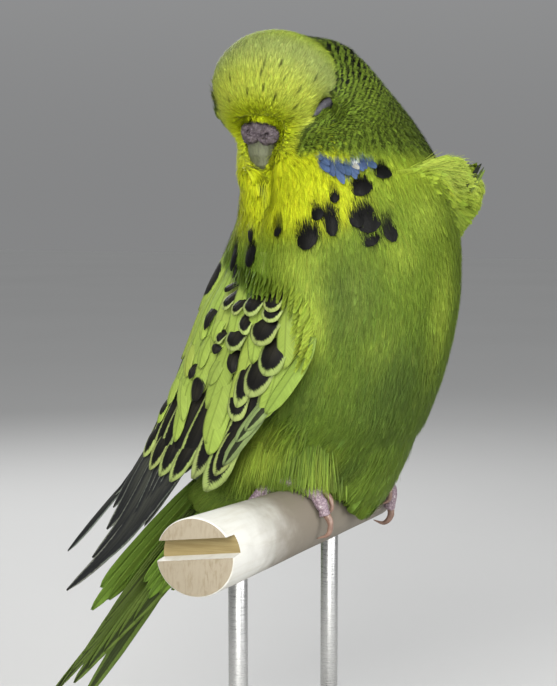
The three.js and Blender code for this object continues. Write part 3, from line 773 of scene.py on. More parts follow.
bib_blots = blots(BIB_SPOTS, INK, 0.12)
cheek_blots = blots(CHEEK_SPOTS, CHEEK_BLUE, 0.2) + blots(CHEEK_HIGHLIGHT_SPOTS, srgb(205, 208, 200), 0.25)
BLOTS = blots(LIGHT_AND_PALE_PATCHES, LIGHT_AND_PALE_GREEN, 0.9) + blots(SHADE_PATCHES, SHADE_GREEN, 0.9)
BLOTS += blots([(x, y, 2.2, 8, 0.75) for x, y in FLECKS], INK, 0.3)
BLOTS += mirrored_blots([b for b in bib_blots if b[0][2] > 150] + cheek_blots)
BLOTS += bib_blots + cheek_blots


def marked(points, behind, edge_shift=0.0):
    """Ground colour and marks at each point. edge_shift moves the marks' edges, feather by feather."""
    colour = ground(points, behind)
    for place, along, across, (half_width, half_length), tint, strength, soft in BLOTS:
        reach = 1.6 * max(half_width, half_length)
        near = np.flatnonzero(np.abs(points - place).max(1) < reach)
        if not len(near):
            continue
        offset = points[near] - place
        distance = np.hypot(offset @ across / half_width, offset @ along / half_length)
        shift = edge_shift if np.isscalar(edge_shift) else edge_shift[near]
        share = strength * ease(distance + shift, 1 + soft, 1 - soft)
        colour[near] = mix(colour[near], tint, share[:, None])
    return colour


BAR_SPACING_AT = (128, 150, 160, 165, 171, 178, 185, 191)
BAR_SPACING = (2.8, 2.5, 2.0, 1.5, 1.1, 1.15, 1.7, 2.1)


def bars(points, behind, distance):
    """The fine black bars of nape and neck: their count from the edge, across it, and their strength."""
    _, left, crown = head_places(points)
    count = distance / np.interp(points[:, 2], BAR_SPACING_AT, BAR_SPACING)
    round_head = np.arctan2(left, crown + 4)
    across = round_head * np.hypot(left, crown + 4) / 1.7
    rear = ease(points[:, 1] - spine_at(points[:, 2])[:, 1], -4, 12)
    strength = behind * ease(points[:, 2], mix(163, 126, rear), mix(166.5, 150, rear))
    strength = strength * mix(0.74, 1.0, ease(points[:, 2], 176, 184))
    return np.stack([count, across, strength], 1)


print("marks:", len(BLOTS))

# %% [markdown]
# Plumage finish: fine light and dark strands run along every feather, the root lies in shade, and
# where the bars are strong each feather has a black band inside a yellow edge. The bars are counted
# along the flow, so neighbouring feathers join into one scalloped row.

# %% Plumage finish
plumage, plumage_in, plumage_out = group(
    "plumage finish",
    [
        ("Pigment", "Color", (0.5, 0.5, 0.1, 1)), ("Feather", "Vector", None), ("Bars", "Vector", None),
        ("Strands", "Float", 7.0),
    ],
    [("Color", "Color"), ("Roughness", "Float"), ("Height", "Float")],
)
along, over, _ = axes_node(plumage_in["Feather"])
row_count, row_across, row_strength = axes_node(plumage_in["Bars"])
place = place_node(plumage)
strand_place = join_axes(times(over, plumage_in["Strands"]), times(along, 0.9), 0.0)
coarse_place = vector_node("SCALE", place, scale=900.0)
strand = noise_node(vector_node("ADD", strand_place, coarse_place), 1.0, 2.0)
light = step_node(strand, 0.3, 0.7, 0.78, 1.2)
root_shade = step_node(along, 0.0, 0.45, 0.62, 1.0)
tone = times(light, root_shade)
# scalloped rows: each row is a line of small arches, and every other row is shifted by half an arch
row = floored(row_count)
half_shift = times(row, 0.5)
arch = minus(fraction(plus(row_across, half_shift)), 0.5)
arch = times(times(arch, arch), 1.1)
wobble = times(minus(noise_node(place, 500.0, 2.0), 0.5), 0.7)
within = fraction(plus(plus(row_count, arch), wobble))
band = times(step_node(within, 0.36, 0.5), step_node(within, 0.98, 0.86))
broken = step_node(noise_node(place, 420.0, 2.0), 0.36, 0.5, 0.45, 1.0)
band = times(band, times(broken, row_strength))
barred = mix_node(band, plumage_in["Pigment"], tuple(INK))
feed(plumage_out["Color"], dimmed(barred, tone))
feed(plumage_out["Roughness"], step_node(strand, 0.2, 0.8, 0.62, 0.46))
feed(plumage_out["Height"], strand)


def coat_material(name):
    made, tree, shader = material(name, 0.55)
    shader.inputs["Specular IOR Level"].default_value = 0.1
    out = place_group(
        tree, plumage, Pigment=attribute_node(tree, "pigment", "Color"), Feather=uv_node(tree, "feather"),
        Bars=attribute_node(tree, "bars", "Vector"),
    )
    feed(shader.inputs["Base Color"], out["Color"])
    feed(shader.inputs["Roughness"], out["Roughness"])
    feed(shader.inputs["Normal"], bump_node(out["Height"], 0.35, 0.0001))
    return made


COAT_FINISH = coat_material("small feathers")
print("plumage finish:", len(plumage.nodes), "nodes")

# %% [markdown]
# The skin shows only in the gaps of the coat. It carries the same ground colours, marks and bars,
# darkened as painted shade for the gaps, and a fine down on its surface.

# %% Skin finish
FEATHER_MIDDLE = (0.7, 0.5, 0.0)  # the skin takes the tone that a feather has here, along and across
skin_finish, skin_nodes, skin_shader = material("downy skin", 0.8, Sheen_Weight=0.1)
down = noise_node(place_node(skin_nodes), 1400.0, 3.0)
# painted shade: the skin is darkened to between 0.45 and 0.8 of its colour, for the shaded gaps it shows in,
# and the down noise varies that darkening
down_and_gap_shade = step_node(down, 0.3, 0.75, 0.45, 0.8)
skin_out = place_group(
    skin_nodes, plumage, Pigment=attribute_node(skin_nodes, "pigment", "Color"), Feather=FEATHER_MIDDLE,
    Bars=attribute_node(skin_nodes, "bars", "Vector"),
)
feed(skin_shader.inputs["Base Color"], dimmed(skin_out["Color"], down_and_gap_shade))
feed(skin_shader.inputs["Normal"], bump_node(down, 0.6, 0.0003))


def paint_points(mesh, colours, **vectors):
    """Stores the pigment and the named vectors at the points of a mesh."""
    pigment = mesh.color_attributes.new("pigment", "FLOAT_COLOR", "POINT")
    rgba = np.concatenate([np.clip(colours, 0, 1), np.ones((len(colours), 1))], 1)
    pigment.data.foreach_set("color", rgba.astype(np.float32).ravel())
    for name, values in vectors.items():
        attribute = mesh.attributes.new(name, "FLOAT_VECTOR", "POINT")
        attribute.data.foreach_set("vector", values.astype(np.float32).ravel())


def add_uv(mesh, name, point_uv, corners):
    layer = mesh.uv_layers.new(name=name)
    layer.data.foreach_set("uv", point_uv[corners].astype(np.float32).ravel())


skin_behind, skin_distance = from_bar_edge(skin_points)
skin_bars = bars(skin_points, skin_behind, skin_distance)
paint_points(skin.data, marked(skin_points, skin_behind), bars=skin_bars)
skin.data.materials.append(skin_finish)

# %% [markdown]
# Every small feather is a copy of one of a few curved blades. A blade starts as a flat grid, and only
# its outline and its places along and across are kept. Each copy is bent over the skin: its root sits
# in the skin, its tip stands at the coat's depth, and its edges curve down.

# %% Blades
def blade(columns, rows, outline):
    """A grid from root to tip: for each point its share along (0 to 1), its share across (-1 to 1)
    and the width there, and then the faces. The outline holds pairs of share along and width."""
    bm = bmesh.new()
    bmesh.ops.create_grid(bm, x_segments=columns, y_segments=rows, size=1)
    bm.verts.index_update()
    across = np.array([v.co.x for v in bm.verts])
    share = np.array([(v.co.y + 1) / 2 for v in bm.verts])
    quads = np.array([[v.index for v in face.verts] for face in bm.faces])
    bm.free()
    at, width = zip(*outline)
    return share, across, np.interp(share, at, width), quads


LEAF = blade(2, 4, [(0, 0.45), (0.3, 0.85), (0.6, 1), (0.85, 0.75), (1, 0.2)])
PLUME = blade(2, 3, [(0, 0.5), (0.35, 0.9), (0.7, 0.9), (1, 0.12)])
WISP = blade(1, 3, [(0, 1), (0.5, 0.9), (1, 0.1)])


ARCH = 0.22  # how far a feather's edges curve down, for its half width
MARK_LEVEL = 0.2  # marks are read at this height over the skin, so that lift doesn't shift them
EDGE_JITTER, BAR_JITTER = 0.14, 0.22  # how much the edges of marks and bars differ between feathers


def coat_mesh(name, shape, spec):
    """One mesh of many feathers. spec holds an array for each of root, facing, lie, length, half,
    lift, sink, curl, tone and hang, and for feathers of one colour also tint."""
    share, across, width, quads = shape
    roots, facing, lie = spec["root"], spec["facing"], spec["lie"]
    count, per = len(roots), len(share)
    length, half = spec["length"][:, None], spec["half"][:, None]
    tips, tip_facing = nearest_on_skin(roots + lie * length)
    hang = spec["hang"][:, None]
    tips = mix(tips, roots + lie * length, hang)
    tip_facing = unit(mix(tip_facing, facing, hang))
    middle_facing = unit(facing + tip_facing)
    sideways = unit(np.cross(middle_facing, unit(tips - roots)))
    bend = np.arccos(np.clip(np.sum(facing * tip_facing, 1), -1, 1))
    sagitta = np.linalg.norm(tips - roots, axis=1) * bend / 8
    s = share[None, :, None]
    line = roots[:, None] + (tips - roots)[:, None] * s
    height = 4 * sagitta[:, None] * (share * (1 - share))[None]
    height = height + mix(-spec["sink"][:, None], spec["lift"][:, None], (1 - (1 - share) ** 1.6)[None])
    height = height - ARCH * half * (across**2 * width)[None]
    curl = spec["curl"][:, None] * (share**2)[None]
    line = line + sideways[:, None] * ((across * width)[None] * half + curl)[..., None]
    under = (line + middle_facing[:, None] * np.minimum(height, MARK_LEVEL)[..., None]).reshape(-1, 3)
    points = (line + middle_facing[:, None] * height[..., None]).reshape(-1, 3)
    mesh = bpy.data.meshes.new(name)
    faces = (quads[None] + per * np.arange(count)[:, None, None]).reshape(-1, 4)
    mesh.vertices.add(len(points))
    mesh.loops.add(faces.size)
    mesh.polygons.add(len(faces))
    mesh.vertices.foreach_set("co", (points * MM).astype(np.float32).ravel())
    mesh.loops.foreach_set("vertex_index", faces.ravel().astype(np.int32))
    mesh.polygons.foreach_set("loop_start", (4 * np.arange(len(faces))).astype(np.int32))
    shade_smooth(mesh)
    mesh.update(calc_edges=True)
    own = np.stack([share, across * 0.5 + 0.5], 1)
    stray = draw.uniform(0, 20, (count, 1, 1)) * np.array([0.0, 1.0])
    add_uv(mesh, "feather", (own[None] + stray).reshape(-1, 2), faces.ravel())
    patch = unwrap(roots)[:, None] + PATCH * (np.stack([across * 0.5, share - 0.5], 1))[None]
    add_uv(mesh, "OFBake", patch.reshape(-1, 2), faces.ravel())
    jitter = np.repeat(draw.normal(0, EDGE_JITTER, count), per)
    slip = np.repeat(draw.normal(0, BAR_JITTER, (count, 3)), per, 0)
    behind, distance = from_bar_edge(under + slip)
    tinted = "tint" in spec
    colour = np.repeat(spec["tint"], per, 0) if tinted else marked(under, behind, jitter)
    tone = np.repeat(spec["tone"], per, 0)
    paint_points(mesh, colour * tone, bars=bars(under, behind * (not tinted), distance))
    made = add_object(name, mesh)
    mesh.materials.append(COAT_FINISH)
    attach(made, "root")
    print(name + ":", count, "feathers,", 2 * len(faces), "triangles")
    return made


# %% [markdown]
# Where the feathers grow is drawn at random over the skin, more densely on the face. Each part of the
# body then sets its feathers' size: shortest round the cere and the eyes, long and silky on the flanks.

# %% Feather roots
triangle_points = skin_points[skin_triangles]
corner, second, third = triangle_points.transpose(1, 0, 2)
triangle_area = np.linalg.norm(np.cross(second - corner, third - corner), axis=1) / 2


def scatter(per_mm2, where):
    """Random places on the skin with so many roots on each square millimetre, kept where `where` says so."""
    wanted = per_mm2 * where(triangle_points.mean(1)) * triangle_area
    whole = draw.poisson(wanted)
    chosen = np.repeat(np.arange(len(wanted)), whole)
    a, b = draw.random((2, len(chosen), 1))
    flip = (a + b) > 1
    a, b = np.where(flip, 1 - a, a), np.where(flip, 1 - b, b)
    corners = triangle_points[chosen]
    roots = corners[:, 0] + a * (corners[:, 1] - corners[:, 0]) + b * (corners[:, 2] - corners[:, 0])
    corner_normals = skin_normals[skin_triangles[chosen]]
    facing = unit(corner_normals[:, 0] * (1 - a - b) + corner_normals[:, 1] * a + corner_normals[:, 2] * b)
    return roots, facing


def eye_axes(side):
    """The directions ahead of an eye, above it, and out from the head."""
    out = unit(EYES[side] - HEAD_CENTRE)
    ahead = unit(HEAD_FORWARD - out * np.dot(HEAD_FORWARD, out))
    return ahead, np.cross(out, ahead) * side, out


def eye_places(points):
    """Each point as seen from the nearer eye: how far ahead of it, above it, and out from the head."""
    side = np.where(head_places(points)[1] > 0, LEFT, RIGHT)
    places = np.zeros((3, len(points)))
    for hand, eye in EYES.items():
        chosen = side == hand
        offset = points[chosen] - eye
        places[:, chosen] = [offset @ axis for axis in eye_axes(hand)]
    return places


def bare_places(points):
    """Where no feather grows: the lids, the cere and the beak in its groove."""
    ahead, above, out = eye_places(points)
    lids = (np.hypot(ahead / 3.4, (above + 0.8) / 1.4) < 1) & (np.abs(out) < 3)
    forward, left, crown = head_places(points)
    cere = (np.hypot(left / 3.4, (crown + 5.4) / 2.3) < 1) & (forward > 8)
    beak = (np.abs(left) < mix(2.3, 0.9, ease(crown, -6, -12))) & (crown < -5) & (crown > -14.5)
    return lids | cere | (beak & (forward > 8))


WING_EDGE_Z, WING_EDGE_Y = (84, 95, 106, 119, 134, 148), (23, 11, 0.5, -6.5, -9, -9)


def wing_covered(points):
    """Under the wing feathers: beside the trunk and below the level where the coverts start."""
    x, y, z = points.T
    start = 136 + 0.28 * (y + 9)
    spine = spine_at(z)
    behind_front = y > np.interp(z, WING_EDGE_Z, WING_EDGE_Y) + 1.8
    out = np.abs(x - spine[:, 0]) > np.interp(z, (90, 130), (12, 20))
    return (z < start) & (z > 91 + 0.5 * (20 - y)) & behind_front & (out | (y > 8))


def head_share(points):
    return ease(np.linalg.norm(points - HEAD_CENTRE, axis=1), 21, 17)


def sized(roots, facing, length, half, lift, sink=0.3, stray=0.12, tone_range=0.16):
    """The arrays that coat_mesh needs, each size varied a little from feather to feather."""
    count = len(roots)
    lie = flow(roots, facing)
    side = np.cross(facing, lie)
    turn = draw.normal(0, stray, (count, 1))
    vary = 1 + draw.normal(0, 0.13, count)
    tone = 1 + draw.normal(0, tone_range, (count, 1)) + draw.normal(0, 0.03, (count, 3))
    return {
        "root": roots, "facing": facing, "lie": unit(lie + side * turn), "length": length * vary,
        "half": half * (1 + draw.normal(0, 0.12, count)), "lift": lift + draw.normal(0, 0.16, count),
        "sink": np.full(count, sink), "curl": draw.normal(0, 0.12, count) * length / 4,
        "tone": np.clip(tone, 0.55, 1.5), "hang": np.zeros(count),
    }


def chosen_from(spec, chosen):
    return {key: value[chosen] for key, value in spec.items()}


MOST_TRIANGLES = 190000  # in one piece


def grow(name, shape, region, per_mm2, size, slot):
    """Grows one region of the coat, in as many pieces as its count of triangles asks for."""
    roots, facing = scatter(per_mm2, region)
    keep = ~bare_places(roots)
    roots, facing = roots[keep], facing[keep]
    spec = size(roots, facing)
    per_piece = MOST_TRIANGLES // (2 * len(shape[3]))
    order = np.argsort(roots[:, 2], kind="stable")
    for part, chosen in enumerate(np.array_split(order, math.ceil(len(order) / per_piece))):
        piece = coat_mesh(f"{name}_{part + 1}", shape, chosen_from(spec, chosen))


def on_head_only(points):
    return head_share(points) > 0.5


def on_neck_only(points):
    return (head_share(points) <= 0.5) & (points[:, 2] > 146)


def on_body_only(points):
    return (points[:, 2] <= 148) & ~wing_covered(points)


# %% [markdown]
# The feathers of the head are graded: short and upright round the cere, short round the eyes, and
# those of the brow turned down over the closed lids. Neck and body only grow longer downwards.

# %% Feather sizes
def head_length(roots):
    """How long the feathers are, from 0 round the cere and the eyes to 1 on the crown, and how far
    they are brows."""
    to_beak = np.linalg.norm(roots - BEAK_BASE, axis=1)
    ahead, above, out = eye_places(roots)
    to_eye = np.hypot(ahead, above)
    brow = ease(above, 0.2, 1.2) * ease(to_eye, 6.5, 4.5) * (np.abs(out) < 4)
    short_at_eye = np.clip(ease(to_eye, 2.5, 7) + 0.6 * brow, 0, 1)
    return np.minimum(ease(to_beak, 4, 15), short_at_eye), brow


def near_cere(roots):
    """0 for the feathers that stand up round the cere, 1 for those that lie down further off."""
    return ease(np.linalg.norm(roots - BEAK_BASE, axis=1), 5, 9)


def head_feathers(roots, facing, lengths, halves, lifts, brow_lift, **spread):
    """Feathers sized from the cere (the first values) to the crown (the second), with the brows turned
    down over the closed lids."""
    small, brow = head_length(roots)
    lift = mix(*lifts, near_cere(roots)) + brow_lift * brow
    spec = sized(roots, facing, mix(*lengths, small), mix(*halves, small), lift, **spread)
    nearer = np.where(head_places(roots)[1][:, None] > 0, EYES[LEFT], EYES[RIGHT])
    towards = nearer - roots
    towards -= facing * np.sum(towards * facing, 1, keepdims=True)
    spec["lie"] = unit(mix(spec["lie"], unit(towards), 0.7 * brow[:, None]))
    return spec


def head_size(roots, facing):
    return head_feathers(roots, facing, (1.5, 3.6), (0.22, 0.36), (1.5, 0.9), 1.2)


def head_wisp(roots, facing):
    wisp = {"stray": 0.14, "tone_range": 0.2}
    return head_feathers(roots, facing, (1.5, 4.6), (0.07, 0.11), (1.9, 1.15), 1.3, **wisp)


def longer_downwards(lengths, levels, half, lift, stray, tone_range):
    """A size for feathers whose length goes from the first to the second value between two levels."""

    def size(roots, facing):
        length = mix(*lengths, ease(roots[:, 2], *levels))
        return sized(roots, facing, length, half, lift, stray=stray, tone_range=tone_range)

    return size


neck_size = longer_downwards((4.0, 6.5), (172, 150), 0.7, 1.25, 0.09, 0.09)
neck_wisp = longer_downwards((4.5, 7.5), (172, 150), 0.12, 1.6, 0.13, 0.18)
body_size = longer_downwards((6.5, 9.0), (130, 100), 0.8, 1.2, 0.08, 0.07)
body_wisp = longer_downwards((7.0, 11.0), (130, 95), 0.13, 1.55, 0.12, 0.16)


def on_thighs(points):
    """Beside the legs, where long loose feathers hang down to the perch. They thin out at the edges."""
    x, y, z = points.T
    top = mix(108, 100, x > 0)
    return (np.abs(x) > 9) * ease(z, 87, 89) * ease(z, top, top - 8) * ease(y, -9, -1) * ease(y, 27, 22)


def hanging(spec, side_lift):
    """Lets feathers hang straight down, a little away from the body, instead of following the skin."""
    roots = spec["root"]
    lean = mix(0.12 * side_lift, side_lift, ease(roots[:, 2], 104, 93))
    sideways = np.where(roots[:, 0] > 0, -0.16, -lean)
    drop = np.stack([sideways, 0.03 + 0.011 * roots[:, 1], -np.ones(len(roots))], 1)
    drop[:, :2] += draw.normal(0, 0.07, (len(roots), 2))
    loose = ease(roots[:, 2], 107, 98)
    spec["lie"] = unit(mix(spec["lie"], unit(drop), loose[:, None]))
    over_perch = np.abs(roots[:, 1] - 2) < 9.5
    low = np.where(over_perch, 85.6, 82.0) + draw.normal(0, 0.9, len(roots))
    spec["length"] = np.clip(roots[:, 2] - low, 3.0, 14.0) * (1 - draw.uniform(0, 0.2, len(roots)))
    spec["hang"] = loose
    return spec


def thigh_size(roots, facing):
    return hanging(sized(roots, facing, 9.0, 0.32, 0.7, tone_range=0.08), 0.13)


def thigh_wisp(roots, facing):
    return hanging(sized(roots, facing, 9.0, 0.13, 1.1, tone_range=0.18), 0.16)


# %% [markdown]
# Over each region lie two layers: broader blades that close the coat, and thin wisps that break up
# their outlines, as the loose barbs of real feathers do. More of them would only cost triangles.

# %% Coat
LAYERS = [
    # name, blade, region, feathers on each square millimetre, sizes, slot
    ("coat_head", PLUME, on_head_only, 6.0, head_size, "plumage_head"),
    ("coat_head_wisps", WISP, on_head_only, 16.0, head_wisp, "plumage_head"),
    ("coat_neck", LEAF, on_neck_only, 2.0, neck_size, "plumage_neck"),
    ("coat_neck_wisps", WISP, on_neck_only, 7.5, neck_wisp, "plumage_neck"),
    ("coat_body", LEAF, on_body_only, 1.6, body_size, "plumage_body"),
    ("coat_body_wisps", WISP, on_body_only, 6.0, body_wisp, "plumage_body"),
    ("coat_thighs", LEAF, on_thighs, 1.2, thigh_size, "plumage_body"),
    ("coat_thigh_wisps", WISP, on_thighs, 9.0, thigh_wisp, "plumage_body"),
]
for layer in LAYERS:
    grow(*layer)

# %% [markdown]
# The black drops of the bib and the blue feathers of the cheek are each the tip of one larger feather,
# so each is set one by one, with its root at the upper end of its mark. The fine coat crosses its root.

# %% Drops and cheek feathers
DROP = blade(6, 8, [(0, 0.5), (0.3, 0.85), (0.6, 1), (0.82, 0.93), (0.93, 0.72), (1, 0.3)])
FINGER = blade(4, 8, [(0, 0.6), (0.3, 0.95), (0.6, 1), (0.85, 0.75), (1, 0.2)])
BIB_DROPS = [
    # root x and y, tip x and y, width: pixels of the photograph
    (309, 210, 311, 250, 25), (328, 198, 334, 237, 17), (315, 197, 322, 221, 13), (333, 180, 337, 205, 10),
    (352, 172, 366, 197, 19), (376, 160, 382, 182, 18), (348, 200, 358, 229, 18), (362, 198, 373, 233, 23),
    (360, 228, 373, 246, 20), (380, 206, 391, 243, 15), (243, 234, 240, 272, 11), (256, 236, 255, 268, 15),
    (254, 214, 258, 244, 9), (283, 212, 283, 237, 10),
]
CHEEK_FINGERS = [
    (318, 157, 331, 178, 8), (325, 157, 337, 181, 8), (332, 159, 345, 188, 8), (339, 161, 350, 180, 8),
    (346, 159, 357, 183, 8), (352, 159, 363, 176, 8), (361, 159, 373, 174, 8), (320, 156, 331, 171, 7),
    (335, 159, 345, 179, 7), (348, 160, 358, 179, 7), (355, 159, 366, 174, 7), (365, 160, 375, 172, 6),
]
# painted highlight: one pale grey feather among the blue ones, where the cheek shines
CHEEK_HIGHLIGHT_FEATHER = [(349, 162, 359, 174, 6)]


def set_feathers(name, shape, chart, colour, lift, lowest=0.0):
    """Charted feathers, and for those that end above the lowest level the same on the far side too."""
    seen = []
    for *ends, width in chart:
        seen.append((seen_on_skin(*ends[:2])[0], seen_on_skin(*ends[2:])[0], width * BLOT_SCALE / 2))
    for root, tip, half in list(seen):
        if tip[2] > lowest:
            over = [nearest_on_skin([across_throat(place)])[0][0] for place in (root, tip)]
            seen.append((*over, half))
    starts, tips, halves = (np.array(column) for column in zip(*seen))
    roots, facing = nearest_on_skin(starts)
    towards = tips - roots
    length = np.linalg.norm(towards, axis=1)
    spec = sized(roots, facing, length, halves, lift, stray=0)
    spec["lie"], spec["length"] = unit(towards), length
    spec["lift"] = np.full(len(roots), lift)
    spec["tint"] = np.tile(colour, (len(roots), 1))
    coat_mesh(name, shape, spec)


set_feathers("bib_drops", DROP, BIB_DROPS, INK, 2.15, 150)
set_feathers("cheek_blue_feathers", FINGER, CHEEK_FINGERS, CHEEK_BLUE, 2.5)
set_feathers("cheek_highlight_feathers", FINGER, CHEEK_HIGHLIGHT_FEATHER, srgb(140, 142, 136), 2.5)

# %% [markdown]
# On the bird's left the bend of the wing pushes the scapular feathers up into a soft rounded lobe. Its
# long pale feathers fan out from the neck over the wing, and three thin tips stand up at its corner.
# Roots and tips are read off the photograph on one upright plane, and the roots are laid on the body.

# %% Shoulder lobe
LOBE_AT, LOBE_FACING = np.array((34.0, -21.9, 157.0)), unit(np.array((0.16, -0.985, 0.06)))
LOBE_EDGE = [
    (446, 160), (457, 162), (464, 165), (467, 173), (470, 181), (476, 180), (481, 186), (482, 193),
    (480, 201), (478, 209), (473, 217), (468, 224), (462, 231), (459, 237),
]
LOBE_INSIDE = [
    (424, 158), (426, 168), (430, 179), (434, 190), (438, 203), (442, 216), (446, 228), (450, 240),
]
LOBE_TIPS = [
    # root x and y, tip x and y, colour
    (466, 186, 479, 164, srgb(30, 34, 22)), (470, 192, 481, 170, srgb(110, 128, 52)),
    (470, 190, 480, 167, srgb(60, 72, 34)),
]
LOBE_PALE = srgb(146, 162, 62)
ROOT_RISE, TIP_RISE = 0.6, 1.3  # how far the lobe's feathers lie over the skin


def on_lobe(px, py):
    ray = photo_ray(px, py)
    return CAMERA_AT + ray * np.dot(LOBE_AT - CAMERA_AT, LOBE_FACING) / np.dot(ray, LOBE_FACING)


def onto_body(points, rise):
    """The points laid on the body's coat, so that the lobe grows out of it."""
    under, facing = nearest_on_skin(points)
    return under + facing * rise


def aimed(spec, towards):
    """Lets feathers reach straight to their tips, without following the skin."""
    spec["lie"], spec["length"] = unit(towards), np.linalg.norm(towards, axis=1)
    spec["hang"] = np.ones(len(towards))
    return spec


def lobe_feathers(name, count, shape, half, spread, tone_range):
    down_lobe = draw.permutation(np.linspace(0, 1, count))
    reach = np.minimum(1.15 * np.sqrt(draw.uniform(0, 1, count)), 1.0)[:, None]
    tip_pixels = mix(curve_at(LOBE_INSIDE, down_lobe), curve_at(LOBE_EDGE, down_lobe), reach)
    heading = mix(np.array((1.0, 0.25)), np.array((0.3, 1.0)), ease(down_lobe, 0.0, 0.6)[:, None])
    root_pixels = tip_pixels - heading * mix(14, 24, draw.random((count, 1)))
    tips = np.array([on_lobe(*pixel) for pixel in tip_pixels])
    roots = onto_body(np.array([on_lobe(*pixel) for pixel in root_pixels]), ROOT_RISE)
    tips = mix(onto_body(tips, TIP_RISE), tips, ease(reach, 0.3, 0.85))
    towards, facing = tips - roots, np.tile(LOBE_FACING, (count, 1))
    length = np.linalg.norm(towards, axis=1)
    spec = aimed(sized(roots, facing, length, half, 0.5, tone_range=tone_range), towards)
    spec["lie"] = unit(spec["lie"] + draw.normal(0, spread, (count, 3)))
    low_down = ease(tip_pixels[:, 1], 184, 206)[:, None]
    pale = ease(reach, 0.1, 0.6) * (1 - 0.9 * low_down)
    spec["tint"] = mix(marked(roots, np.zeros(count)), LOBE_PALE, pale)
    coat_mesh(name, shape, spec)


lobe_feathers("lobe_feathers", 800, LEAF, 0.9, 0.02, 0.06)
lobe_feathers("lobe_wisps", 4200, WISP, 0.12, 0.04, 0.16)
tip_starts = np.array([on_lobe(*row[:2]) for row in LOBE_TIPS])
tip_ends = np.array([on_lobe(*row[2:4]) for row in LOBE_TIPS])
tip_facing = np.tile(LOBE_FACING, (len(LOBE_TIPS), 1))
tip_spec = sized(tip_starts + LOBE_FACING * ROOT_RISE, tip_facing, 4.0, 0.75, 0.5)
tip_spec = aimed(tip_spec, tip_ends - tip_starts)
tip_spec["tint"] = np.array([row[4] for row in LOBE_TIPS])
coat_mesh("lobe_tip", LEAF, tip_spec)

# %% [markdown]
# Each wing lies on a sheet through three guide lines: its front edge, its middle, and its back edge
# along the bird's spine. Every wing feather has its root and tip on that sheet, so the same chart
# serves both wings, and the tiers lie over one another as on a real wing.

# %% Wing sheet
WING_FRONT = (
    (27.5, -9, 148), (29, -9, 134), (29.3, -6.5, 119), (29, 0.5, 106),
    (28, 11, 95), (25.5, 23, 84), (23.5, 42, 69.5), (25.2, 66.6, 52.4),
)
WING_MIDDLE = (
    (18, 17, 152), (17.4, 20, 137), (18.2, 25.2, 126), (19.2, 31.8, 113),
    (20, 37.6, 101.5), (21.5, 43.5, 90), (22, 53, 75.5), (23.2, 68.2, 57.5),
)
WING_BACK = (
    (3.5, 17, 157), (3.2, 25, 143), (3, 29.6, 129), (3, 34.8, 115),
    (3.6, 40.2, 103), (6, 46, 93), (14, 57, 80), (20.8, 69, 63.7),
)
LEFT_DRAWN_IN = 7.0  # how far the left wing's tip is drawn in to the tail


def wing_guides(side):
    drawn = LEFT_DRAWN_IN if side == LEFT else 0.0
    made = []
    for rows in (WING_FRONT, WING_MIDDLE, WING_BACK):
        rows = np.array(rows, float)
        share = np.linspace(0, 1, len(rows))
        rows[:, 0] = side * (rows[:, 0] - drawn * share**2)
        made.append(rows)
    return made


GUIDES = {side: wing_guides(side) for side in (RIGHT, LEFT)}


def sheet(side, u, v):
    """The place on a wing's sheet: u from 0 at the shoulder to 1 at the tip, v from front -1 to back 1."""
    front, middle, back = (curve_at(line, u) for line in GUIDES[side])
    v = np.asarray(v)[..., None]
    return front * v * (v - 1) / 2 + middle * (1 - v * v) + back * v * (v + 1) / 2


def swell(u, v):
    return (1 - ease(u, 0.15, 0.5)) * (1.6 * (1 - v * v) + 2.2 * np.exp(-(((v + 0.62) / 0.3) ** 2)))


SHEET_STEP = 0.02


def on_sheet(side, u, v, height):
    along = sheet(side, u + SHEET_STEP, v) - sheet(side, u - SHEET_STEP, v)
    across = sheet(side, u, v + SHEET_STEP) - sheet(side, u, v - SHEET_STEP)
    out = unit(np.cross(across, along)) * -side
    return sheet(side, u, v) + out * np.asarray(height)[..., None]


CHART_U, CHART_V = 80, 56
chart_u, chart_v = np.meshgrid(np.linspace(0, 1, CHART_U), np.linspace(-1.12, 1, CHART_V), indexing="ij")
chart_points = on_sheet(RIGHT, chart_u, chart_v, swell(chart_u, chart_v)).reshape(-1, 3)
chart_cells = [
    (i * CHART_V + j, (i + 1) * CHART_V + j, (i + 1) * CHART_V + j + 1, i * CHART_V + j + 1)
    for i in range(CHART_U - 1) for j in range(CHART_V - 1)
]
chart_tree = BVHTree.FromPolygons(chart_points.tolist(), chart_cells)


def sheet_place(px, py):
    """Where on the right wing's sheet (u, v) the camera sees a pixel of the photograph."""
    nearest = np.argmin(np.linalg.norm(chart_points - seen_on(chart_tree, px, py)[0], axis=1))
    return np.array((chart_u.ravel()[nearest], chart_v.ravel()[nearest]))


print("wing sheet:", len(chart_cells), "cells")

# %% [markdown]
# A wing feather is a long grid with a rounded tip, arched across, with a raised shaft. Its finish
# needs no picture: the vane is pale, and one oval of ink covers as much of it as its kind asks for.
# A scalloped covert keeps a pale rim, a flight feather is nearly all ink, a clear one has none.

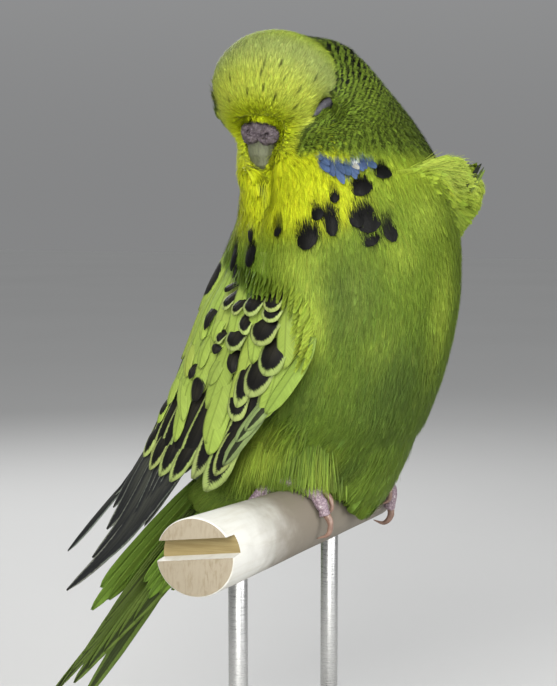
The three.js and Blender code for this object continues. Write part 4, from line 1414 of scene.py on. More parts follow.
# %% Wing feather finish
vane_finish, vane_in, vane_out = group(
    "vane finish",
    [
        ("Pigment", "Color", (0.5, 0.5, 0.1, 1)), ("Ink", "Color", (0, 0, 0, 1)), ("Feather", "Vector", None),
        ("Mark", "Vector", None), ("Vane", "Vector", None),
    ],
    [("Color", "Color"), ("Roughness", "Float"), ("Height", "Float")],
)
share_along, share_over, _ = axes_node(vane_in["Feather"])
mark_at, mark_half, mark_wide = axes_node(vane_in["Mark"])
mm_along, mm_over, ink_strength = axes_node(vane_in["Vane"])
sideways = unsigned(times_plus(share_over, 2.0, -1.0))
mm_sideways = unsigned(mm_over)
barb = minus(mm_along, mm_sideways)
barb_place = join_axes(barb, times(mm_over, 0.12), 0.0)
barb_noise = noise_node(barb_place, 2.6, 3.0)
ragged = times(minus(barb_noise, 0.5), 0.34)
off_along = divided(unsigned(minus(share_along, mark_at)), mark_half)
off_over = divided(sideways, mark_wide)
SQUARER = 2.6  # above 2 the oval of ink is a little squarer than an ellipse
oval = plus(raised(off_along, SQUARER), raised(off_over, SQUARER))
oval = plus(raised(oval, 1 / SQUARER), ragged)
ink_share = times(step_node(oval, 1.08, 0.93), ink_strength)
grey_ink = mix_node(1.0, vane_in["Ink"], (3.4, 3.4, 2.6), "MULTIPLY")
ink_tone = mix_node(step_node(oval, 0.15, 0.8), grey_ink, vane_in["Ink"])
vane_colour = mix_node(ink_share, vane_in["Pigment"], ink_tone)
line = sine(times(barb, 16.0))
barb_light = step_node(times_plus(line, 0.12, barb_noise), 0.2, 0.8, 0.84, 1.12)
shaft = step_node(mm_sideways, 0.3, 0.12)
shaft_light = times_plus(shaft, -0.28, 1.0)
vane_light = times(barb_light, shaft_light)
feed(vane_out["Color"], dimmed(vane_colour, vane_light))
feed(vane_out["Roughness"], step_node(barb_noise, 0.2, 0.8, 0.56, 0.4))
feed(vane_out["Height"], times_plus(shaft, 2.0, line))


def vane_material(name, ink):
    made, tree, shader = material(name, 0.48)
    shader.inputs["Specular IOR Level"].default_value = 0.16
    out = place_group(
        tree, vane_finish, Pigment=attribute_node(tree, "pigment", "Color"), Ink=tuple(ink),
        Feather=uv_node(tree, "feather"), Mark=attribute_node(tree, "mark", "Vector"),
        Vane=attribute_node(tree, "vane", "Vector"),
    )
    feed(shader.inputs["Base Color"], out["Color"])
    feed(shader.inputs["Roughness"], out["Roughness"])
    feed(shader.inputs["Normal"], bump_node(out["Height"], 0.25, 0.00004))
    return made


WING_YELLOW = srgb(136, 156, 68)
WING_PALE = srgb(142, 156, 88)
WING_GREEN = srgb(116, 134, 82)
WING_INK = srgb(13, 12, 10)
PRIMARY_INK = srgb(30, 31, 32)
PRIMARY_EDGE = srgb(104, 108, 98)
COVERT_FINISH = vane_material("wing feathers", WING_INK)
PRIMARY_FINISH = vane_material("flight feathers", PRIMARY_INK)
print("vane finish:", len(vane_finish.nodes), "nodes")

# each kind: colour, where the oval of ink lies along the feather, its half length, half width, strength
KINDS = {
    "clear": (WING_YELLOW, 0.5, 0.5, 0.9, 0.0),
    "scallop": (WING_PALE, 0.36, 0.5, 0.84, 1.0),
    "flight": (WING_PALE, 0.35, 0.56, 0.78, 1.0),
    "dark": (WING_YELLOW, 0.5, 0.56, 1.2, 1.0),
    "tip": (WING_YELLOW, 0.8, 0.26, 1.15, 1.0),
    "spot": (WING_YELLOW, 0.62, 0.2, 0.75, 1.0),
    "edge": (WING_GREEN, 0.4, 0.55, 0.42, 0.9),
    "lead": (WING_YELLOW, 0.5, 0.5, 0.9, 0.0),
    "primary": (PRIMARY_EDGE, 0.45, 0.62, 0.9, 1.0),
}

# %% [markdown]
# The builder of vanes below bends the grid over the sheet. A feather's root is sunk under the tier
# above it, its tip stands at its own height, and one edge rises over its neighbour while the other
# dips under it. Solidify then gives the thin blade two faces and an edge.

# %% Vanes
ROUNDED_OUTLINE = [(0, 0.5), (0.15, 0.82), (0.4, 1), (0.7, 0.98), (0.84, 0.84), (0.93, 0.6), (1, 0.14)]
POINTED_OUTLINE = [(0, 0.6), (0.15, 0.9), (0.5, 1), (0.72, 0.9), (0.88, 0.62), (0.96, 0.36), (1, 0.1)]
VANE, POINTED_VANE = blade(8, 18, ROUNDED_OUTLINE), blade(8, 22, POINTED_OUTLINE)
VANE_THICKNESS = 0.16
ROOT_SINK = 1.9
SHAFT_RIDGE, SHAFT_HALF = 0.12, 0.25


def shaft_rise(across, half):
    """How far the shaft stands up from the vane."""
    return SHAFT_RIDGE * np.exp(-((across * half / SHAFT_HALF) ** 2))


def vane_piece(name, feathers, place_at, finish):
    """One mesh of vanes. A feather is its shape, its kind, the place that place_at bends it to, and
    its half width."""
    points, quads, uv, vane, mark, pigment, cells = [], [], [], [], [], [], []
    columns = math.ceil(math.sqrt(len(feathers)))
    base = 0
    for number, (shape, kind, where, half) in enumerate(feathers):
        share, across, width, faces = shape
        own, length = place_at(where, share, across, width, half)
        colour, at, reach, wide, strength = KINDS[kind]
        points.append(own)
        quads.append(faces + base)
        base += len(own)
        uv.append(np.stack([share, across * 0.5 + 0.5], 1))
        vane.append(np.stack([share * length, across * width * half, np.full(len(share), strength)], 1))
        mark.append(np.tile((at + draw.normal(0, 0.012), reach, wide), (len(share), 1)))
        tone = 1 + draw.normal(0, 0.05) + draw.normal(0, 0.02, 3)
        # painted shade: each vane darkens towards its root, which lies under the tier above it
        vane_root_shade = mix(0.72, 1.0, ease(share, 0, 0.5))[:, None]
        pigment.append(colour * tone * vane_root_shade)
        cell = np.array((number % columns, number // columns))
        cells.append((cell + 0.05 + 0.9 * uv[-1]) / columns)
    points, quads = np.concatenate(points), np.concatenate(quads)
    mesh = bpy.data.meshes.new(name)
    mesh.from_pydata((points * MM).tolist(), [], quads.tolist())
    shade_smooth(mesh)
    add_uv(mesh, "feather", np.concatenate(uv), quads.ravel())
    add_uv(mesh, "OFBake", np.concatenate(cells), quads.ravel())
    paint_points(mesh, np.concatenate(pigment), vane=np.concatenate(vane), mark=np.concatenate(mark))
    made = add_object(name, mesh)
    mesh.materials.append(finish)
    wall = made.modifiers.new("thin wall", "SOLIDIFY")
    wall.thickness = VANE_THICKNESS * MM
    wall.offset = 0
    applied(made)
    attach(made, "root")
    print(name + ":", len(feathers), "feathers,", len(made.data.polygons) * 2, "triangles")
    return made


def wing_vane(side, tilt=0.6):
    """Bends a blade over a wing's sheet. A feather's place is its root and its tip (u, v), and its
    height at the tip. The tilt lifts one edge over the neighbour."""

    def place_at(where, share, across, width, half):
        root, tip, lift = where
        u = mix(root[0], tip[0], share)
        middle = mix(root[1], tip[1], share)
        beside = sheet(side, u, middle + SHEET_STEP) - sheet(side, u, middle - SHEET_STEP)
        per_v = np.linalg.norm(beside, axis=1) / (2 * SHEET_STEP)
        v = middle + across * width * half / per_v
        height = swell(u, middle) + mix(-ROOT_SINK, lift, ease(share, -0.15, 0.8))
        height = height + across * width * tilt - 0.16 * half * across**2 * width
        height = height + shaft_rise(across, half)
        ends = sheet(side, np.array((root[0], tip[0])), np.array((root[1], tip[1])))
        return on_sheet(side, u, v, height), np.linalg.norm(ends[1] - ends[0])

    return place_at


# %% [markdown]
# The tiers of long feathers: ten primaries, ten secondaries and the tertials, with the rows of
# coverts over their roots. The first and the last feather of each tier are given, as root and tip on
# the sheet, and the others are spread between them.

# %% Tiers of the wing
PRIMARIES = [
    # count, first root, first tip, last root, last tip, half widths, heights
    (6, (0.5, -0.6), (0.79, -0.62), (0.5, 0.05), (1.0, -0.82), (2.0, 2.3), (-0.9, -0.1)),
    (3, (0.52, -0.1), (0.93, -0.5), (0.52, 0.25), (0.86, 0.1), (2.3, 2.3), (0.1, 0.0)),
    (2, (0.52, 0.4), (0.85, 0.5), (0.52, 0.55), (1.0, 0.9), (2.3, 2.2), (-0.1, -0.2)),
]
LONG_TIERS = [
    ("flight", 8, (0.34, -0.72), (0.7, -0.98), (0.34, 0.3), (0.7, 0.15), (2.8, 2.8), (-0.2, 0.2)),
    ("flight", 4, (0.32, 0.3), (0.67, 0.3), (0.3, 0.85), (0.62, 0.88), (3.2, 3.2), (0.3, 0.4)),
]
COVER_TIERS = [
    ("clear", 8, (0.16, -0.8), (0.46, -0.95), (0.2, 0.62), (0.56, 0.5), (2.9, 3.4), (0.1, 0.3)),
    ("clear", 7, (0.06, -0.78), (0.32, -0.92), (0.1, 0.4), (0.38, 0.3), (2.9, 3.0), (0.2, 0.3)),
    ("spot", 4, (0.12, 0.4), (0.54, 0.42), (0.12, 0.95), (0.54, 0.9), (3.0, 3.2), (0.5, 0.5)),
    ("clear", 4, (0.06, 0.3), (0.42, 0.35), (0.06, 0.9), (0.42, 0.88), (3.2, 3.4), (0.8, 0.7)),
    ("spot", 4, (0.02, 0.35), (0.3, 0.4), (0.02, 0.92), (0.3, 0.88), (3.0, 3.2), (1.0, 0.8)),
]
# Each feather of the right wing that shows in the photograph: what it is, its kind, its root and its
# tip in the photograph, its half width in millimetres, and how many tiers up it lies
WING_CHART = [
    ("secondary margin", "flight", (238, 405), (207.5, 489), 3.7, 0),
    ("secondary inner", "flight", (247, 406), (217.5, 477), 2.4, 1),
    ("edge stack 1", "edge", (263, 397), (226, 466), 1.9, 1),
    ("edge stack 2", "edge", (270, 391), (240, 442), 1.9, 2),
    ("edge stack 3", "edge", (278, 383), (247, 433), 1.7, 3),
    ("leading edge", "lead", (307, 338), (269, 413), 2.3, 4),
    ("tertial 5", "flight", (204, 415), (172.5, 483), 2.4, 0),
    ("tertial 4", "flight", (186, 417), (162, 479), 2.3, 1),
    ("tertial 3", "flight", (175, 412), (153.5, 468), 2.1, 2),
    ("tertial 2", "flight", (164, 403), (146.5, 457), 2.3, 3),
    ("tertial 1", "spot", (176, 376), (161.5, 423), 2.0, 4),
    ("yellow lower", "clear", (223, 377), (208.6, 453.6), 2.9, 2),
    ("yellow upper", "clear", (226, 356), (210, 443), 2.9, 3),
    ("clear front", "clear", (226, 342), (213.5, 386.5), 1.8, 4),
    ("greater hidden", "scallop", (238, 377), (235.5, 422.5), 2.9, 4),
    ("greater long", "scallop", (250.7, 342), (240.5, 410), 2.5, 5),
    ("greater dark", "dark", (232.8, 347), (234, 373), 1.6, 5),
    ("greater 1", "scallop", (270, 343.5), (254, 397), 3.8, 6),
    ("greater 2", "scallop", (279, 331), (266.5, 374), 3.7, 7),
    ("small dark tip", "tip", (223.6, 336), (219.5, 354), 1.4, 7),
    ("median 1", "scallop", (241, 320.5), (235, 352.5), 2.8, 8),
    ("median 2", "scallop", (270.5, 305), (262, 344), 3.8, 8),
    ("small 2", "scallop", (226, 322), (223, 343), 1.2, 8),
    ("median 3", "scallop", (246, 308), (247, 333), 1.9, 9),
    ("lesser 1", "scallop", (276.5, 299), (272, 323), 2.8, 9),
    ("lesser 2", "scallop", (259, 287), (254.5, 319), 2.6, 10),
    ("lesser 3", "scallop", (279, 288), (273.5, 311), 2.7, 10),
    ("oval feather", "tip", (207.5, 343.5), (197.5, 402), 2.2, 3),
    ("clear over oval", "clear", (215, 316), (202, 371.5), 1.9, 5),
    ("small dark", "dark", (199, 353), (193, 377.5), 1.1, 4),
    ("clear mid left", "clear", (200, 334), (176, 443), 2.2, 2),
    ("clear left 2", "clear", (190.5, 339), (184.5, 421), 2.3, 3),
    ("clear left 3", "clear", (186, 342), (171.5, 405), 2.1, 4),
    ("clear left 4", "clear", (201, 316), (190, 376), 2.3, 5),
    ("long dark", "dark", (218.5, 297.5), (208.7, 331.7), 1.2, 6),
    ("clear top 1", "clear", (212, 299), (204.5, 342), 1.7, 5),
    ("clear top 2", "clear", (226, 305), (216.7, 343.6), 1.6, 6),
    ("fleck 1", "scallop", (236, 289), (229, 311), 1.5, 8),
    ("fleck 2", "scallop", (243, 293), (237.5, 314), 1.5, 8),
    ("fleck 3", "dark", (238, 276), (230.5, 291.5), 1.0, 8),
]
CHART_LOW, CHART_STEP = 0.55, 0.11  # the height of the lowest charted feather, and of each tier over it


def tier(shape, kind, count, first_root, first_tip, last_root, last_tip, halves, lifts):
    """A row of feathers spread evenly between its first and its last one."""
    made = []
    for i in range(count):
        t = i / (count - 1)
        root = mix(np.array(first_root), np.array(last_root), t)
        tip = mix(np.array(first_tip), np.array(last_tip), t) + (draw.normal(0, 0.006), 0)
        tip[0] = min(tip[0], 1.0)
        half = mix(*halves, t) * (1 + draw.normal(0, 0.04))
        made.append((shape, kind, (root, tip, mix(*lifts, t)), half))
    return made


chart = []
for label, kind, root_px, tip_px, half, level in WING_CHART:
    place = (sheet_place(*root_px), sheet_place(*tip_px), CHART_LOW + CHART_STEP * level)
    chart.append((VANE, kind, place, half))

for side, hand in ((RIGHT, "right"), (LEFT, "left")):
    flight = [f for row in PRIMARIES for f in tier(POINTED_VANE, "primary", *row)]
    covers = [f for row in LONG_TIERS + COVER_TIERS for f in tier(VANE, *row)]
    primaries = vane_piece(f"primaries_{hand}", flight, wing_vane(side), PRIMARY_FINISH)
    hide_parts(f"wing_{hand}")
    vane_piece(f"wing_feathers_{hand}", covers, wing_vane(side), COVERT_FINISH)
    vane_piece(f"wing_coverts_{hand}", chart, wing_vane(side, 0.25), COVERT_FINISH)

# %% [markdown]
# Where the wing is folded into the breast, loose breast feathers hang over its first rows. They start
# on the skin ahead of the wing and end a little above the coverts.

# %% Breast fringe
FRINGE_ROOTS = [
    # pixels of the photograph, from the bend of the wing down its front edge
    (240, 262), (258, 272), (276, 279), (292, 286), (303, 298), (309, 314), (312, 332), (313, 350),
]
FRINGE_OVER_WING = 1.1
FRINGE_SHORTEST, FRINGE_LONGEST = 2.0, 11.0


def breast_fringe(name, count, shape, half, tone_range):
    along_edge = draw.uniform(0, 1, count)
    root_pixels = curve_at(FRINGE_ROOTS, along_edge) + draw.normal(0, 2.2, (count, 2))
    heading = mix(np.array((-0.12, 1.0)), np.array((-0.5, 0.9)), ease(along_edge, 0.35, 0.8)[:, None])
    tip_pixels = root_pixels + heading * mix(10, 24, draw.random((count, 1)))
    seen = [seen_on_skin(*pixel) for pixel in root_pixels]
    roots, facing = np.array([place for place, _ in seen]), np.array([normal for _, normal in seen])
    u, v = np.array([sheet_place(*pixel) for pixel in tip_pixels]).T
    tips = on_sheet(RIGHT, u, v, swell(u, v) + FRINGE_OVER_WING)
    length = np.linalg.norm(tips - roots, axis=1)
    spec = sized(roots + facing * 0.9, facing, length, half, 0.2, tone_range=tone_range)
    spec = aimed(spec, tips - spec["root"])
    spec["length"] = length
    spec["tint"] = marked(roots, np.zeros(count))
    keep = (length > FRINGE_SHORTEST) & (length < FRINGE_LONGEST)
    coat_mesh(name, shape, chosen_from(spec, keep))


breast_fringe("breast_fringe", 240, LEAF, 0.5, 0.07)
breast_fringe("breast_fringe_wisps", 1500, WISP, 0.12, 0.16)

# %% [markdown]
# The tail: twelve long, narrow feathers in graduated pairs, the two longest standing a little apart,
# and soft coverts over their roots above and below.

# %% Tail
TAIL_ROOT = np.array((0.0, 36.0, 75.0))
TAIL_TIP = np.array((-10.6, 83.5, 15.5))
TAIL_TWIST = 28.0
TAIL_PAIRS = 6
TAIL_SHORTEN = 0.085  # of the tail's length, from each pair to the next
TAIL_HALF, TAIL_COVERT_HALF, SIDE_COVERT_HALF = 2.4, 2.6, 2.8
LONGEST_PART = {RIGHT: 2.0, LEFT: 8.5}  # how far the tips of the longest pair stand off the middle
TAIL_SPREAD = {RIGHT: (1.3, 0.95), LEFT: (0.3, 0.35)}  # millimetres between feathers, at root and tip
TAIL_GREEN = srgb(88, 106, 46)
TAIL_INK = srgb(26, 30, 20)
KINDS["tail"] = (TAIL_GREEN, 0.55, 0.6, 0.5, 0.75)
KINDS["tail covert"] = (srgb(104, 132, 50), 0.5, 0.5, 0.5, 0.0)
TAIL_FINISH = vane_material("tail feathers", TAIL_INK)

tail_length = np.linalg.norm(TAIL_TIP - TAIL_ROOT)
tail_along = unit(TAIL_TIP - TAIL_ROOT)
level_side = unit(np.array((1.0, 0, 0)) - tail_along * tail_along[0])
tail_side = np.array(Matrix.Rotation(math.radians(TAIL_TWIST), 3, Vector(tail_along)) @ Vector(level_side))
tail_top = -np.cross(tail_along, tail_side)


def tail_vane(where, share, across, width, half):
    start, end, root_across, tip_across, height, turn = where
    at = mix(start, end, share)
    over = mix(root_across, tip_across, share) + across * width * half
    lift = height + across * width * 0.62 * turn - 0.12 * half * across**2
    lift = lift + shaft_rise(across, half)
    points = TAIL_ROOT + tail_length * at[:, None] * tail_along
    points = points + over[:, None] * tail_side + lift[:, None] * tail_top
    return points, tail_length * (end - start)


tail_feathers = []
for pair in range(TAIL_PAIRS):
    for hand in (RIGHT, LEFT):
        middle = pair + 0.5
        apart = LONGEST_PART[hand] if pair == 0 else 0.6
        end = 1 - TAIL_SHORTEN * pair - (0.03 if hand == LEFT else 0.0) + draw.uniform(-0.008, 0.0)
        at_root, at_tip = (hand * gap * middle for gap in TAIL_SPREAD[hand])
        where = (0.04, end, at_root, at_tip + hand * apart, 0.4 - 0.35 * pair, -hand)
        tail_feathers.append((POINTED_VANE, "tail", where, TAIL_HALF))
for rise, facing_up in ((1.3, 1), (-2.6, -1)):
    for row, reach in enumerate((0.42, 0.34, 0.26, 0.18)):
        for i in range(5):
            across = (i - 2) * 2.5 + 1.2 * (row % 2)
            end = reach - 0.012 * abs(across)
            height = rise + facing_up * 0.35 * row
            where = (-0.06, end, across * 0.8, across, height, 0.3)
            tail_feathers.append((VANE, "tail covert", where, TAIL_COVERT_HALF))
# longer coverts on the side of the tail that the folded wings leave open
for across, end in ((-13.0, 0.46), (-10.5, 0.56), (-8.0, 0.5), (-5.5, 0.44)):
    where = (-0.06, end, across * 0.8, across, 0.6, 0.3)
    tail_feathers.append((VANE, "tail covert", where, SIDE_COVERT_HALF))
tail = vane_piece("tail_feathers", tail_feathers, tail_vane, TAIL_FINISH)
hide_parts("tail")

# %% [markdown]
# The cere is the lumpy, flaking skin round the nostrils. It starts from its solid, wrapped in a fine
# net, and a little noise along its normals raises the crusts.

# %% Cere and beak
def crusted(points, facing, size, depth, seed):
    """The points, each lifted or sunk along its normal by noise of this size."""
    lift = np.array([noise.noise(Vector(p / size) + Vector((seed, seed, seed))) for p in points])
    return points + facing * (depth * lift)[:, None]


def refined(name, node, voxel, rounds):
    """A node's form again, in a fine even net without its facets."""
    made = smoothed(remeshed(new_object(name, node_copy(node)), voxel), rounds)
    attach(made, "root")
    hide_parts(node)
    return made


FINE_VOXEL = 0.16
CERE_LOWER, CERE_LONGER, CERE_SCALE = 0.7, 0.12, 0.93
BEAK_SHIFT = np.array((-3.0, -0.8, 0.0))  # how far the beak's tip stands forward of its solid

cere = refined("cere_skin", "cere", FINE_VOXEL, 2)
cere_points = coordinates(cere.data)
below = np.clip(-head_places(cere_points)[2], 0, 8)
cere_points -= HEAD_CROWN * (CERE_LOWER + CERE_LONGER * below)[:, None]
cere_middle = cere_points.mean(0)
cere_points = cere_middle + CERE_SCALE * (cere_points - cere_middle)
for size, depth, seed in ((1.5, 0.5, 3.0), (0.6, 0.28, 9.0), (0.28, 0.12, 5.0)):
    cere_points = crusted(cere_points, normals(cere.data), size, depth, seed)
    set_coordinates(cere.data, cere_points)

upper_horn = refined("beak_upper_horn", "beak_upper", FINE_VOXEL, 10)
lower_horn = refined("beak_lower_horn", "beak_lower", FINE_VOXEL, 8)
horn_points = coordinates(upper_horn.data)
below = ease(-head_places(horn_points)[2], 6, 17)
set_coordinates(upper_horn.data, horn_points + below[:, None] * BEAK_SHIFT)

cere_finish, cere_tree, cere_shader = material("crusted cere", 0.7)
cere_place = place_node(cere_tree)
crust = noise_node(cere_place, 1500, 5, 0.65)
patches = noise_node(cere_place, 420, 3)
cere_colour = mix_node(step_node(patches, 0.36, 0.66), srgb(58, 47, 54), srgb(82, 72, 76))
# partly real crust, partly painted light: where the crust noise that also drives the bump is high the cere
# turns paler (flakes and a painted highlight), and where it is low near black (painted shade in the crevices)
cere_colour = mix_node(step_node(crust, 0.56, 0.72), cere_colour, srgb(118, 109, 111))
cere_colour = mix_node(step_node(crust, 0.46, 0.32), cere_colour, srgb(30, 21, 24))
feed(cere_shader.inputs["Base Color"], cere_colour)
feed(cere_shader.inputs["Roughness"], step_node(crust, 0.35, 0.65, 0.5, 0.85))
feed(cere_shader.inputs["Normal"], bump_node(crust, 0.8, 0.00025))
cere.data.materials.append(cere_finish)

# %% [markdown]
# Horn grows in fine layers, so its grain is a noise that is stretched along the beak, over slow clouds
# of a greyer and a greener tone. A thin clear coat gives it the dull shine of horn.

# %% Beak finish
horn_finish, horn_tree, horn_shader = material("beak horn", 0.42, Coat_Weight=0.15, Coat_Roughness=0.3)
horn_place = place_node(horn_tree)
grain_place = vector_node("MULTIPLY", horn_place, (2600, 2600, 320))
grain = noise_node(grain_place, 1.0, 4, 0.6)
clouds = noise_node(horn_place, 260, 2)
horn_colour = mix_node(clouds, srgb(84, 90, 62), srgb(106, 108, 84))
horn_colour = mix_node(step_node(grain, 0.4, 0.7), horn_colour, srgb(76, 76, 58))
feed(horn_shader.inputs["Base Color"], horn_colour)
feed(horn_shader.inputs["Roughness"], step_node(grain, 0.3, 0.7, 0.34, 0.52))
feed(horn_shader.inputs["Normal"], bump_node(grain, 0.3, 0.0001))
for horn in (upper_horn, lower_horn):
    horn.data.materials.append(horn_finish)

# %% [markdown]
# The bird sleeps, so each eye is a pair of closed lids: a low dome with the fine line where the lids
# meet, folds that run beside that line, and a rim of small beads.

# %% Lids
LID_LONG, LID_HIGH = 4.2, 2.3
# the far lids show only as a low bulge, so they rise less and lie deeper in the feathers
LID_RISE, LID_SUNK = {RIGHT: 0.7, LEFT: 1.25}, {RIGHT: 0.6, LEFT: 0.0}


def lid(side, name, node):
    ahead, above, out = eye_axes(side)
    centre = EYES[side] - out * LID_SUNK[side]
    bm = bmesh.new()
    bmesh.ops.create_icosphere(bm, subdivisions=6, radius=1)
    for vertex in bm.verts:
        a, b, c = vertex.co
        slit = b + 0.16 * (1 - a * a)
        fold = -0.09 * math.exp(-((slit / 0.05) ** 2))
        fold += 0.022 * math.cos(slit * 42) * math.exp(-((abs(slit) - 0.3) ** 2) / 0.05)
        bead = 0.03 * math.sin(30 * math.atan2(b, a)) * math.exp(-((math.hypot(a, b) - 0.86) / 0.06) ** 2)
        rise = 1 + (fold + bead) / max(c, 0.35) if c > 0 else 1
        place = centre + LID_LONG * a * ahead + LID_HIGH * b * above + LID_RISE[side] * c * rise * out
        vertex.co = Vector(place) * MM
    bmesh.ops.recalc_face_normals(bm, faces=bm.faces)
    made = new_object(name, bm)
    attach(made, "root")
    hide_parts(node)
    return made


lid_finish, lid_tree, lid_shader = material("lid skin", 0.55)
lid_place = place_node(lid_tree)
lid_grain = noise_node(lid_place, 1800, 4, 0.6)
lid_clouds = noise_node(lid_place, 500, 2)
lid_colour = mix_node(lid_clouds, srgb(40, 39, 45), srgb(62, 60, 67))
lid_colour = mix_node(step_node(lid_grain, 0.52, 0.7), lid_colour, srgb(78, 74, 82))
feed(lid_shader.inputs["Base Color"], lid_colour)
feed(lid_shader.inputs["Normal"], bump_node(lid_grain, 0.5, 0.0001))
for side, hand in ((RIGHT, "right"), (LEFT, "left")):
    lid(side, f"lids_{hand}", f"eye_{hand}").data.materials.append(lid_finish)

# %% [markdown]
# The perch is a turned stick of pale wood, sawn off at a slant, with a kerf cut across its end.
# A cone gives the slight taper, a boolean cuts the kerf, and each face gets the wood that shows there:
# long grain on the side, end grain on the sawn face, and bare yellow wood inside the kerf. Near the
# bird the side carries a painted shadow.

# %% Perch
PERCH_Y, PERCH_Z = 2.0, 78.0
PERCH_NEAR, PERCH_FAR = -61.8, 23.5
PERCH_NEAR_RADIUS, PERCH_FAR_RADIUS = 8.8, 6.7
PERCH_SKEW = math.tan(math.radians(12))  # the near end is sawn at a slant
PERCH_ROUND, PERCH_SIDES, PERCH_RINGS = 0.5, 96, 60
KERF_HIGH, KERF_DEEP, KERF_LIFT, KERF_TURN = 5.2, 3.1, 1.5, math.radians(7)
KERF_NARROWER, KERF_RISE = 1.2, 0.6  # at its bottom the kerf is narrower, and lies higher
KERF_BEFORE, KERF_LONG = 5, 40  # how far the cutting block reaches before the end, and across


def perch_radius(x):
    return mix(PERCH_NEAR_RADIUS, PERCH_FAR_RADIUS, (x - PERCH_NEAR) / (PERCH_FAR - PERCH_NEAR))


stick = bmesh.new()
length = PERCH_FAR - PERCH_NEAR
lying = Matrix.Rotation(math.radians(90), 4, "Y")
bmesh.ops.create_cone(
    stick, cap_ends=True, segments=PERCH_SIDES, depth=length, matrix=lying,
    radius1=PERCH_NEAR_RADIUS, radius2=PERCH_FAR_RADIUS,
)
rims = [e for e in stick.edges if abs(e.verts[0].co.x - e.verts[1].co.x) < 1e-4 and len(e.link_faces) == 2]
rims = [e for e in rims if any(len(f.verts) > 4 for f in e.link_faces)]
bmesh.ops.bevel(stick, geom=rims, offset=PERCH_ROUND, segments=3, profile=0.5, affect="EDGES", material=-1)
lengthwise = [e for e in stick.edges if abs(e.verts[0].co.x - e.verts[1].co.x) > length / 2]
bmesh.ops.subdivide_edges(stick, edges=lengthwise, cuts=PERCH_RINGS, use_grid_fill=True)
for vertex in stick.verts:
    x, y, z = vertex.co
    slant = -PERCH_SKEW * y if x < -length / 2 + 1 else 0.0
    vertex.co = Vector(((PERCH_NEAR + PERCH_FAR) / 2 + x + slant, PERCH_Y + y, PERCH_Z + z)) * MM
bmesh.ops.recalc_face_normals(stick, faces=stick.faces)
perch = new_object("perch_stick", stick)

# %% Kerf
kerf = bmesh.new()
bmesh.ops.create_cube(kerf, size=1)
for vertex in kerf.verts:
    x, y, z = vertex.co
    high, rise = (KERF_HIGH, 0) if x < 0 else (KERF_HIGH - KERF_NARROWER, KERF_RISE)
    slant = -PERCH_SKEW * y * KERF_LONG
    inwards = x * (KERF_DEEP + KERF_BEFORE) + (KERF_DEEP - KERF_BEFORE) / 2 + slant
    vertex.co = Vector((inwards, y * KERF_LONG, z * high + rise))
kerf_place = Matrix.Translation(Vector((PERCH_NEAR, PERCH_Y, PERCH_Z + KERF_LIFT)) * MM)
kerf_turn = Matrix.Rotation(-KERF_TURN, 4, "X") @ Matrix.Scale(MM, 4)
bmesh.ops.transform(kerf, matrix=kerf_place @ kerf_turn, verts=kerf.verts)
kerf_tool = new_object("kerf_tool", kerf, smooth=False)
cutting = perch.modifiers.new("kerf", "BOOLEAN")
cutting.operation = "DIFFERENCE"
cutting.solver = "FAST"
cutting.object = kerf_tool
applied(perch)
bpy.data.objects.remove(kerf_tool)
perch_axis = np.array((0, PERCH_Y, PERCH_Z))
perch_points = coordinates(perch.data)
WAVE_SCALE, WAVE_DEPTH = (0.07, 0.11, 0.11), 0.012  # the stick isn't quite round: a share of its radius
waves = np.array([noise.noise(Vector(p * WAVE_SCALE)) for p in perch_points])
perch_points[:, 1:] += (perch_points - perch_axis)[:, 1:] * WAVE_DEPTH * waves[:, None]
set_coordinates(perch.data, perch_points)
print("perch:", len(perch.data.polygons), "faces")

# %% [markdown]
# Wood is one noise stretched along the fibre, with a broad slow noise over it that lets some stretches
# run darker. The same group serves the perch's side, its sawn faces and the stand, each with its own
# colours and its own stretch.

# %% Wood finish
WOOD_GRAIN, grain_in, grain_out = group(
    "wood grain",
    [
        ("Place", "Vector", None), ("Light wood", "Color", (1, 1, 1, 1)),
        ("Dark wood", "Color", (0, 0, 0, 1)), ("Scale", "Float", 1.0),
    ],
    [("Color", "Color"), ("Height", "Float")],
)
stretched = vector_node("SCALE", grain_in["Place"], scale=grain_in["Scale"])
fibre = noise_node(stretched, 1.0, 6, 0.62, 0.3)
broad = noise_node(vector_node("SCALE", stretched, scale=0.16), 1.0, 2)
grain_share = times(step_node(fibre, 0.42, 0.68), step_node(broad, 0.3, 0.7, 0.35, 1.0))
feed(grain_out["Color"], mix_node(grain_share, grain_in["Light wood"], grain_in["Dark wood"]))
feed(grain_out["Height"], fibre)


# painted shadow: the bird's shadow on the perch begins between these two places
SHADOW_FROM, SHADOW_TO = -0.045, -0.018  # metres along the perch


def wood(name, light_wood, dark_wood, stretch, roughness, depth, shadow_tone=None):
    """The last argument is the tone of a painted shadow: the shadow that the bird casts on the wood, towards
    the bird.
    """
    made, tree, shader = material(name, roughness)
    place = place_node(tree)
    placed = vector_node("MULTIPLY", place, stretch)
    out = place_group(tree, WOOD_GRAIN, Place=placed, Light_wood=light_wood, Dark_wood=dark_wood)
    colour = out["Color"]
    if shadow_tone is not None:
        # painted shadow: towards the bird the wood takes the darker tone of the bird's shadow, its edge
        # wobbled by noise
        shadow_edge_wobble = times(noise_node(place, 160, 3), 0.02)
        in_bird_shadow = step_node(plus(axes_node(place)[0], shadow_edge_wobble), SHADOW_FROM, SHADOW_TO)
        colour = mix_node(in_bird_shadow, colour, shadow_tone)
    feed(shader.inputs["Base Color"], colour)
    feed(shader.inputs["Normal"], bump_node(out["Height"], 0.35, depth))
    return made


